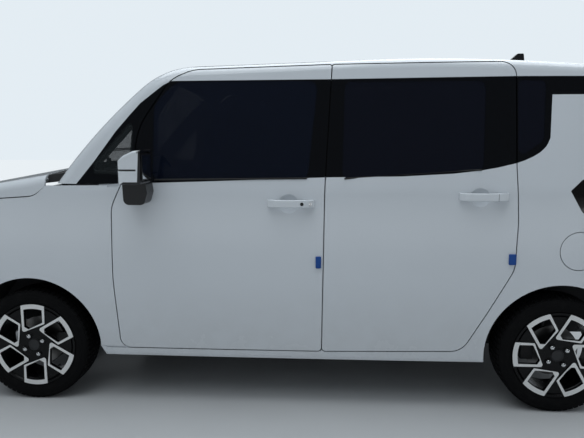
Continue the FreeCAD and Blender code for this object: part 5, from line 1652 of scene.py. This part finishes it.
@dataclass
class Seats:
    """Padded seats, blown up as cloth over the CAD seats' form."""

    front: SeatPlan = field(default_factory=lambda: SeatPlan(
        "front_seat_left", (-0.445, -0.195), ((-0.445, -0.195),)))
    rear: SeatPlan = field(default_factory=lambda: SeatPlan(
        "rear_seat", (-0.43, -0.15, 0.15, 0.43), ((-0.43, -0.15), (0.15, 0.43)), 0.016))
    # Piping: (cloth, its lines, reach along the cushion, height above it, reach up the back)
    piping: tuple = (
        ("front_left", (-0.445, -0.195), (-0.30, 0.10), 0.85, (0.64, 1.07)),
        ("front_right", (0.195, 0.445), (-0.30, 0.10), 0.85, (0.64, 1.07)),
        ("rear", (-0.43, -0.15, 0.15, 0.43), (0.59, 0.93), 0.80, (0.66, 1.02)),
    )
    swell: float = 0.011
    frames: int = 20

    def build(self) -> None:
        """Makes both kinds of seat and their metal and plastic parts."""
        left = self.pad(self.front)
        left.name = "seat_cloth_front_left"
        right = Bench.twin(left, "seat_cloth_front_right", MIRROR_Y)
        rear = self.pad(self.rear)
        rear.name = "seat_cloth_rear"
        for obj, node in ((left, "front_seat_left"), (right, "front_seat_right"), (rear, "rear_seat")):
            Bench.dress(obj, "body", "seat_fabric", [node])
        self.seams()
        self.hardware()
        self.head_rests()

    def pad(self, plan: SeatPlan) -> bpy.types.Object:
        """Blows one seat up as cloth that is held along its seams.

        Args:
            plan: The seat's node and seams.

        Returns:
            The finished cushion piece.
        """
        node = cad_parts[plan.node]
        obj = bpy.data.objects.new(plan.node + "_cloth", node.data.copy())
        bpy.context.scene.collection.objects.link(obj)
        Bench.outwards(obj)
        Bench.modify(obj, "REMESH", mode="VOXEL", voxel_size=plan.voxel)
        start = [vertex.co.copy() for vertex in obj.data.vertices]
        self.inflate(obj, plan)
        for vertex, first in zip(obj.data.vertices, start):
            move = vertex.co - first
            if move.length > self.swell:
                vertex.co = first + move.normalized() * self.swell
        Bench.modify(obj, "SMOOTH", factor=0.5, iterations=3)
        Bench.modify(obj, "SUBSURF", levels=1, render_levels=1)
        Bench.coated(obj, "cloth")

        def light(c: Vector, n: Vector) -> bool:
            """Whether a face is on a light band and on top or in front."""
            return any(a < c.y < b for a, b in plan.insert) and (n.z > 0.35 or n.x < -0.35)

        Bench.patch(obj, "cloth_light", light)
        return Bench.smooth(obj, 60.0)

    def inflate(self, obj: bpy.types.Object, plan: SeatPlan) -> None:
        """Runs the cloth simulation, pinned along the sewn lines.

        Args:
            obj: The seat's mesh.
            plan: The seat's node and seams.
        """
        group = obj.vertex_groups.new(name="sewn")
        width = plan.voxel * 0.75
        held = [v.index for v in obj.data.vertices if any(abs(v.co.y - y) < width for y in plan.seams)]
        group.add(held, 1.0, "REPLACE")
        cloth = obj.modifiers.new("cloth", "CLOTH")
        settings = cloth.settings
        settings.use_pressure = True
        settings.uniform_pressure_force = 4.0
        settings.vertex_group_mass = group.name
        settings.effector_weights.gravity = 0.0
        settings.tension_stiffness = settings.compression_stiffness = 25.0
        settings.bending_stiffness = 2.0
        cloth.collision_settings.use_collision = False
        cloth.point_cache.frame_start, cloth.point_cache.frame_end = 1, self.frames
        for number in range(1, self.frames + 1):
            bpy.context.scene.frame_set(number)
        Bench.pick(obj)
        bpy.ops.object.modifier_apply(modifier=cloth.name)
        bpy.context.scene.frame_set(1)

    def seams(self) -> None:
        """Piping along the sewn lines, laid on the finished cloth."""
        for name, lines, (x0, x1), height, (z0, z1) in self.piping:
            data = bpy.data.objects["seat_cloth_" + name].data
            tree = BVHTree.FromPolygons([v.co for v in data.vertices], [p.vertices for p in data.polygons])
            down, back = Vector((0, 0, -1)), Vector((1, 0, 0))
            kit = Kit()
            for y in lines:
                top = [tree.ray_cast(Vector((x, y, height)), down)[0] for x in spaced(x0, x1, 10)]
                front = [tree.ray_cast(Vector((x0, y, z)), back)[0] for z in spaced(z0, z1, 10)]
                for line in (top, front):
                    points = [p for p in line if p is not None]
                    if len(points) > 4:
                        kit.tube("black", "piping", points, 0.0026, 2)
            kit.piece(f"seat_piping_{name}", slot="seat_fabric", smooth=0.0)

    @staticmethod
    def hardware() -> None:
        """Rails, recliner covers, head restraint posts and belt buckles of the front seats."""
        kit = Kit()
        for y in (-0.50, -0.14):
            kit.block("steel", "seat_rail", (-0.27, y - 0.018, 0.286), (0.16, y + 0.018, 0.300), 0.003)
        for y in (-0.575, -0.075):
            kit.drum("trim_dark", "recliner", (0.145, y, 0.500), 0.050, 0.022, bevel=0.006)
        kit.block("trim_dark", "seat_side_trim", (-0.30, -0.583, 0.400), (0.13, -0.568, 0.490), 0.006)
        for y in (-0.375, -0.265):
            line = [(0.346, y, 1.085), (0.348, y, 1.100), (0.350, y, 1.118)]
            kit.tube("chrome", "rest_post", line, 0.0055, 3)
        kit.block("black", "belt_stalk", (0.085, -0.062, 0.42), (0.110, -0.050, 0.60), 0.004)
        kit.block("black", "belt_buckle", (0.080, -0.066, 0.58), (0.115, -0.046, 0.645), 0.004)
        kit.block("lamp_red", "belt_button", (0.086, -0.0625, 0.645), (0.109, -0.0495, 0.649), 0.001)
        kit.pair("seat_hardware_front")

    @staticmethod
    def head_rests() -> None:
        """Two padded head rests on posts above the rear seat."""
        kit = Kit()
        for y in (-0.29, 0.29):
            low, high = (1.105, y - 0.125, 1.085), (1.185, y + 0.125, 1.215)
            rest = kit.block("cloth", "rear_rest", low, high, 0.028, 5)
            Bench.shift(rest, lambda c, n: n.x < -0.9, (0.006, 0, 0), (1, 0.92, 0.88))
            for post in (y - 0.05, y + 0.05):
                line = [(1.145, post, 1.05), (1.145, post, 1.07), (1.146, post, 1.10)]
                kit.tube("chrome", "rest_post", line, 0.0055, 3)
        kit.piece("rear_head_rests", slot="seat_fabric")


@dataclass
class Cockpit:
    """Steering wheel, instruments, vents, screen, gear lever and pedals."""

    tilt: float = math.radians(25.0)
    centre: Row = (-0.300, 0.320, 1.010)
    spoke_edge: tuple[Row, ...] = (
        (0.050, -0.026), (0.110, -0.020), (0.174, -0.017), (0.174, 0.017), (0.110, 0.020), (0.050, 0.026),
    )
    vent_rows: tuple[Row, ...] = ((-0.60, 0.048), (-0.20, 0.032), (0.155, 0.032), (0.60, 0.048))
    pedal_tilt: float = math.radians(-35.0)

    def build(self) -> None:
        """Makes all pieces near the dashboard."""
        self.steering()
        self.stalks()
        self.instruments()
        self.vents()
        self.lever()
        self.pedals()

    def along(self, reach: float) -> Vector:
        """Point on the column's axis, down from the wheel's centre."""
        return Vector(self.centre) - self.axis * reach

    @property
    def axis(self) -> Vector:
        """The column's direction, up towards the driver."""
        return Vector((math.cos(self.tilt), 0, math.sin(self.tilt)))

    def steering(self) -> None:
        """Leather rim, spokes with keys and a plain pad."""
        axis, middle = self.axis, self.along(0.020)
        left = Vector((0, 1, 0))
        kit = Kit()
        kit.hoop("black", "wheel_rim", middle, 0.178, 0.0142, axis, 96, 16)
        pad = kit.drum("trim_dark", "wheel_pad", middle - axis * 0.012, 0.066, 0.046, axis, 48, 0.012)
        Bench.inset(pad, lambda c, n: n.dot(axis) > 0.95, 0.010, -0.0015)
        for towards, key in ((left, "trim_dark"), (-left, "trim_dark"), (-axis.cross(left), "alloy")):
            self.spoke(kit, key, middle, towards)
        kit.drum("trim_dark", "wheel_boss", self.along(0.045), 0.058, 0.030, axis, 40, 0.004, 0.050)
        kit.piece("steering_wheel_detail", "steering", replaces=["steering_wheel"])

    def spoke(self, kit: Kit, key: str, middle: Vector, towards: Vector) -> None:
        """Adds a spoke to the wheel, with its keys if it lies level.

        Args:
            kit: The wheel's parts.
            key: Finish of the spoke.
            middle: Middle of the rim.
            towards: Direction from the hub to the rim.
        """
        axis = self.axis
        width = axis.cross(towards)
        points = [middle + towards * reach + width * half - axis * 0.008 for reach, half in self.spoke_edge]
        kit.plate(key, "wheel_spoke", points, axis * 0.014, 0.003)
        if abs(towards.y) > 0.5:
            low, high = (-0.022, -0.012, -0.002), (0.022, 0.012, 0.003)
            keys = kit.block("black_smooth", "wheel_keys", low, high, 0.002)
            turn = Matrix((towards, width, axis)).transposed().to_4x4()
            keys.data.transform(Matrix.Translation(middle + towards * 0.105 + axis * 0.007) @ turn)

    def stalks(self) -> None:
        """Two stalks and the cover of the column."""
        root = self.along(0.085)
        kit = Kit()
        for sign in (-1, 1):
            steps = ((0, sign * 0.026, 0), (0.006, sign * 0.080, 0.006), (0.012, sign * 0.150, 0.018))
            line = [root + Vector(step) for step in steps]
            kit.tube("black", "stalk", line, 0.0065, 3)
            kit.drum("black_smooth", "stalk_end", line[2], 0.0085, 0.030, (0, 1, 0), 20, 0.003)
        kit.drum("trim_dark", "column_cover", self.along(0.135), 0.046, 0.130, self.axis, 32, 0.010)
        kit.piece("column_stalks")

    @staticmethod
    def instruments() -> None:
        """Dial panel under the hood, screen and knobs on the centre stack, and the glove box line."""
        skin = Skin("dashboard")
        kit = Kit()
        x = skin.board(0.32, 1.040)[0].x
        kit.block("black_smooth", "dial_panel", (x - 0.006, 0.195, 1.003), (x + 0.004, 0.445, 1.068), 0.003)
        for y in (0.255, 0.385):
            kit.hoop("chrome", "dial_ring", (x + 0.005, y, 1.036), 0.027, 0.0022, (1, 0, 0), 40, 8)
            kit.drum("black", "dial_face", (x + 0.0045, y, 1.036), 0.026, 0.002, (1, 0, 0), 40)
            kit.block("lamp_red", "needle", (x + 0.0058, y - 0.0012, 1.036), (x + 0.0070, y + 0.0012, 1.056))
        spots = ((-0.105, 0.930), (0.105, 0.930), (0.105, 1.030), (-0.105, 1.030))
        corners = [skin.board(y, z) for y, z in spots]
        face = [point + normal * 0.001 for point, normal in corners]
        kit.plate("black_smooth", "centre_screen", face, corners[0][1] * 0.006, 0.002)
        for y, less in ((-0.065, 0.0), (0.0, 0.003), (0.065, 0.0)):
            point, normal = skin.board(y, 0.845)
            kit.drum("black", "climate_knob", point + normal * 0.008, 0.021 - less, 0.018, normal, 32, 0.003)
            kit.hoop("chrome", "knob_ring", point + normal * 0.015, 0.0185 - less, 0.0012, normal, 32, 6)
        edge = ((-0.60, 0.88), (-0.20, 0.88), (-0.20, 0.73), (-0.60, 0.73), (-0.60, 0.88))
        kit.tube("seal", "glove_line", [skin.board(y, z)[0] for y, z in edge], 0.0016, 2, smooth=False)
        low, high = (-0.004, -0.045, 0.055), (0.010, 0.045, 0.070)
        kit.block("black", "glove_pull", low, high, 0.003, at=skin.board(-0.40, 0.79)[0])
        kit.piece("instruments")

    def vents(self) -> None:
        """Four slatted air outlets on the board's sloping face."""
        skin = Skin("dashboard")
        across = Vector((0, 1, 0))
        outlets = Kit()
        for y, half in self.vent_rows:
            point, normal = skin.board(y, 0.985)
            turn = Matrix((across, normal.cross(across), normal)).transposed().to_4x4()
            kit = Kit()
            low, high = (-half, -0.030, -0.004), (half, 0.030, 0.005)
            ring = kit.block("black_smooth", "vent_frame", low, high, 0.006, 3)
            Bench.inset(ring, lambda c, n: n.z > 0.9, 0.006)
            Bench.shift(ring, lambda c, n, h=half: n.z > 0.9 and abs(c.x) < h * 0.5 and abs(c.y) < 0.015,
                        (0, 0, -0.010))
            for slat in spaced(-0.017, 0.0175, 4):
                low, high = (-half + 0.007, slat - 0.0012, -0.002), (half - 0.007, slat + 0.0012, 0.003)
                kit.block("trim_dark", "vent_slat", low, high)
            vent = kit.joined("vent", 0.0)
            vent.data.transform(Matrix.Translation(point) @ turn)
            outlets.parts.append(vent)
        outlets.piece("air_vents")

    @staticmethod
    def lever() -> None:
        """Gear lever on the centre stack and a low tray between the seats."""
        point = Skin("dashboard").board(0.0, 0.770)[0]
        kit = Kit()
        low, high = (-0.004, -0.045, -0.050), (0.006, 0.045, 0.050)
        kit.block("black_smooth", "lever_gate", low, high, 0.004, at=point)
        stem = [point, point + Vector((0.05, 0, 0.02)), point + Vector((0.095, 0, 0.05))]
        kit.tube("chrome", "lever_stem", stem, 0.0065, 3)
        kit.ball("black", "lever_knob", point + Vector((0.100, 0, 0.058)), (0.022, 0.020, 0.030))
        tray = kit.block("trim_dark", "floor_tray", (-0.20, -0.055, 0.287), (0.16, 0.042, 0.375), 0.010, 3)
        Bench.inset(tray, lambda c, n: n.z > 0.9, 0.008)
        Bench.shift(tray, lambda c, n: n.z > 0.9 and abs(c.x + 0.02) < 0.05, (0, 0, -0.03))
        kit.piece("gear_lever")

    def pedals(self) -> None:
        """Accelerator and brake on their arms, and a footrest."""
        tilt = Matrix.Rotation(self.pedal_tilt, 4, "Y")
        kit = Kit()
        for y, wide, z in ((0.240, 0.030, 0.420), (0.360, 0.045, 0.430)):
            line = [(-0.725, y, 0.62), (-0.690, y, 0.54), (-0.640, y, z + 0.01)]
            kit.tube("black", "pedal_arm", line, 0.008, 3)
            pad = kit.block("seal", "pedal_pad", (-0.012, -wide, -0.035), (0.0, wide, 0.035), 0.004)
            Bench.inset(pad, lambda c, n: n.x > 0.9, 0.006, 0.0015)
            pad.data.transform(Matrix.Translation((-0.628, y, z)) @ tilt)
        rest = kit.block("seal", "foot_rest", (-0.05, 0.470, -0.006), (0.05, 0.540, 0.006), 0.004)
        rest.data.transform(Matrix.Translation((-0.65, 0, 0.36)) @ tilt)
        kit.piece("pedals")


@dataclass
class Linings:
    """Door cards, visors, inner mirror, grab handles, lamps and mats."""

    # Door cards: (door, speaker x, pocket's ends, x of its wall, lever x, switches)
    cards: tuple = (
        ("front", -0.510, (-0.23, 0.17), -0.095, -0.39, (-0.25, -0.12)),
        ("rear", 0.530, (0.52, 0.86), 0.690, 0.59, (0.56, 0.64)),
    )

    def build(self) -> None:
        """Makes all trim pieces of the cabin."""
        self.door_cards()
        self.roof_parts()
        self.mats()

    def door_cards(self) -> None:
        """Pocket, speaker, release lever and switches on the inner face of each door."""
        for place, speaker_x, (x0, x1), wall_x, lever_x, switches in self.cards:
            skin = Skin(f"door_{place}_left")
            kit = Kit()

            def inside(x: float, z: float) -> Vector:
                """Point on the inner face of the door."""
                return skin.hit((x, -0.30, z), (0, -1, 0))[0]

            spot = inside(speaker_x, 0.460)
            kit.hoop("black", "speaker_ring", spot, 0.072, 0.005, (0, 1, 0), 48, 8)
            kit.drum("seal", "speaker_mesh", spot + Vector((0, 0.002, 0)), 0.070, 0.006, (0, 1, 0), 48, 0.002)
            wall = inside(wall_x, 0.420).y
            low, high = (x0, wall - 0.004, 0.360), (x1, wall + 0.040, 0.470)
            tray = kit.block("trim_dark", "door_pocket", low, high, 0.010, 3)
            Bench.inset(tray, lambda c, n: n.z > 0.9, 0.006)
            spot = inside(lever_x, 0.930)
            kit.block("black", "lever_bowl", (-0.055, -0.003, -0.024), (0.055, 0.004, 0.024), 0.003, at=spot)
            low, high = (-0.040, 0.003, -0.010), (0.042, 0.014, 0.010)
            kit.block("chrome", "release_lever", low, high, 0.004, 3, at=spot)
            for x in switches:
                top = skin.hit((x, -0.715, 1.0), (0, 0, -1))[0]
                low, high = (-0.014, -0.010, -0.002), (0.014, 0.010, 0.006)
                kit.block("black_smooth", "window_switch", low, high, 0.003, at=top)
            kit.pair(f"door_card_{place}", place + "_door_{}")

    @staticmethod
    def roof_parts() -> None:
        """Visors, inner mirror, grab handles and two lamps below the roof."""
        skin = Skin("roof_panel", "side_frame_left")

        def under(x: float, y: float) -> Vector:
            """Point on the underside of the roof."""
            return skin.hit((x, y, 1.30), (0, 0, 1))[0]

        kit = Kit()
        corners = ((-0.36, -0.52), (-0.20, -0.54), (-0.20, -0.14), (-0.36, -0.14))
        visor = [under(x, y) - Vector((0, 0, 0.014)) for x, y in corners]
        kit.plate("trim_light", "sun_visor", visor, (0, 0, -0.014), 0.005)
        for x0, x1 in ((-0.10, 0.10), (0.62, 0.82)):
            drops = zip(spaced(x0, x1, 5), (0.0, 0.030, 0.038, 0.030, 0.0))
            line = [under(x, -0.520) - Vector((0, 0, drop)) for x, drop in drops]
            kit.tube("trim_light", "grab_handle", line, 0.0085, 3)
        kit.pair("roof_trim")
        middle, rear = under(-0.30, 0.0), under(0.60, 0.0)
        kit = Kit()
        kit.block("trim_light", "map_lamp", (-0.07, -0.06, -0.022), (0.05, 0.06, 0.002), 0.008, 3, at=middle)
        kit.block("lamp_white", "map_lens", (-0.05, -0.045, -0.0245), (0.03, 0.045, -0.020), 0.003, at=middle)
        kit.block("lamp_white", "dome_lamp", (-0.06, -0.04, -0.016), (0.06, 0.04, 0.002), 0.007, 3, at=rear)
        steps = ((-0.115, 0, -0.020), (-0.108, 0, -0.055), (-0.100, 0, -0.085))
        kit.tube("black", "mirror_stem", [middle + Vector(step) for step in steps], 0.007, 3)
        low, high = (-0.112, -0.115, -0.118), (-0.092, 0.115, -0.062)
        kit.block("black", "inner_mirror", low, high, 0.009, 3, at=middle)
        low, high = (-0.0935, -0.108, -0.113), (-0.0912, 0.108, -0.067)
        kit.block("mirror", "inner_mirror_face", low, high, 0.001, at=middle)
        kit.piece("roof_lamp_and_mirror")

    @staticmethod
    def mats() -> None:
        """Ribbed mats in the front footwells."""
        kit = Kit()
        kit.block("seal", "floor_mat", (-0.60, -0.52, 0.2870), (-0.36, -0.12, 0.2935), 0.003)
        for y in spaced(-0.500, -0.170, 7):
            kit.block("seal", "mat_rib", (-0.585, y, 0.2930), (-0.375, y + 0.015, 0.2955), 0.001)
        kit.pair("floor_mat_front")


@dataclass
class Undersides:
    """Springs, drive shafts, straps and hangers below the floor."""

    strut_y: float = -0.540

    def build(self) -> None:
        """Makes all pieces that show from below."""
        self.springs()
        self.shafts()
        self.straps()

    def springs(self) -> None:
        """Coil round each front strut, with a bellows below its mount."""
        kit = Kit()
        foot = (FRONT_AXLE, self.strut_y, 0.610)
        kit.add("black", Bench.coil("coil_spring", foot, 0.0535, 0.0062, 0.205, 6))
        for i in range(6):
            centre = (FRONT_AXLE, self.strut_y, 0.470 + 0.020 * i)
            kit.hoop("seal", "strut_bellows", centre, 0.0285, 0.0085, (0, 0, 1), 32, 8)
        kit.pair("coil_spring_front", slot="under_metal")

    @staticmethod
    def shafts() -> None:
        """Drive shaft with a pleated boot at each end."""
        kit = Kit()
        kit.drum("steel", "drive_shaft", (FRONT_AXLE, -0.477, WHEEL_Z), 0.0125, 0.214, (0, 1, 0), 24)
        for start, step in ((-0.372, -0.013), (-0.574, 0.013)):
            for i in range(5):
                centre = (FRONT_AXLE, start + step * i, WHEEL_Z)
                kit.hoop("seal", "boot_pleat", centre, 0.032 - 0.0040 * i, 0.0075, (0, 1, 0), 32, 8)
        kit.pair("drive_shaft", slot="under_metal")
        kit = Kit()
        kit.drum("steel", "axle_stub", (FRONT_AXLE, -0.606, WHEEL_Z), 0.012, 0.024, (0, 1, 0), 24, 0.002)
        kit.pair("axle_stub", "knuckle_front_{}_body", "under_metal")

    @staticmethod
    def straps() -> None:
        """Tank straps, exhaust clamps and rubber hangers."""
        kit = Kit()
        for x in (0.56, 0.86):
            kit.block("steel", "tank_strap", (x - 0.015, -0.502, 0.1675), (x + 0.015, 0.062, 0.1700), 0.0008)
        for x in (-0.60, 0.30, 1.10):
            kit.hoop("steel", "pipe_clamp", (x, 0.180, 0.205), 0.0240, 0.0032, (1, 0, 0), 32, 8)
            line = [(x, 0.180, 0.228), (x, 0.188, 0.250), (x, 0.180, 0.283)]
            kit.tube("seal", "pipe_hanger", line, 0.006, 3)
        kit.piece("under_straps", slot="under_metal")


def main() -> None:
    """Builds the car's looks in order."""
    for part in (Studio, Shell, WheelSet, DoorFittings, Corners, FuelFiller, FrontFace, RearFace, Cockpit,
                 Linings, Undersides, Seats):
        part().build()


if __name__ == "__main__":
    main()
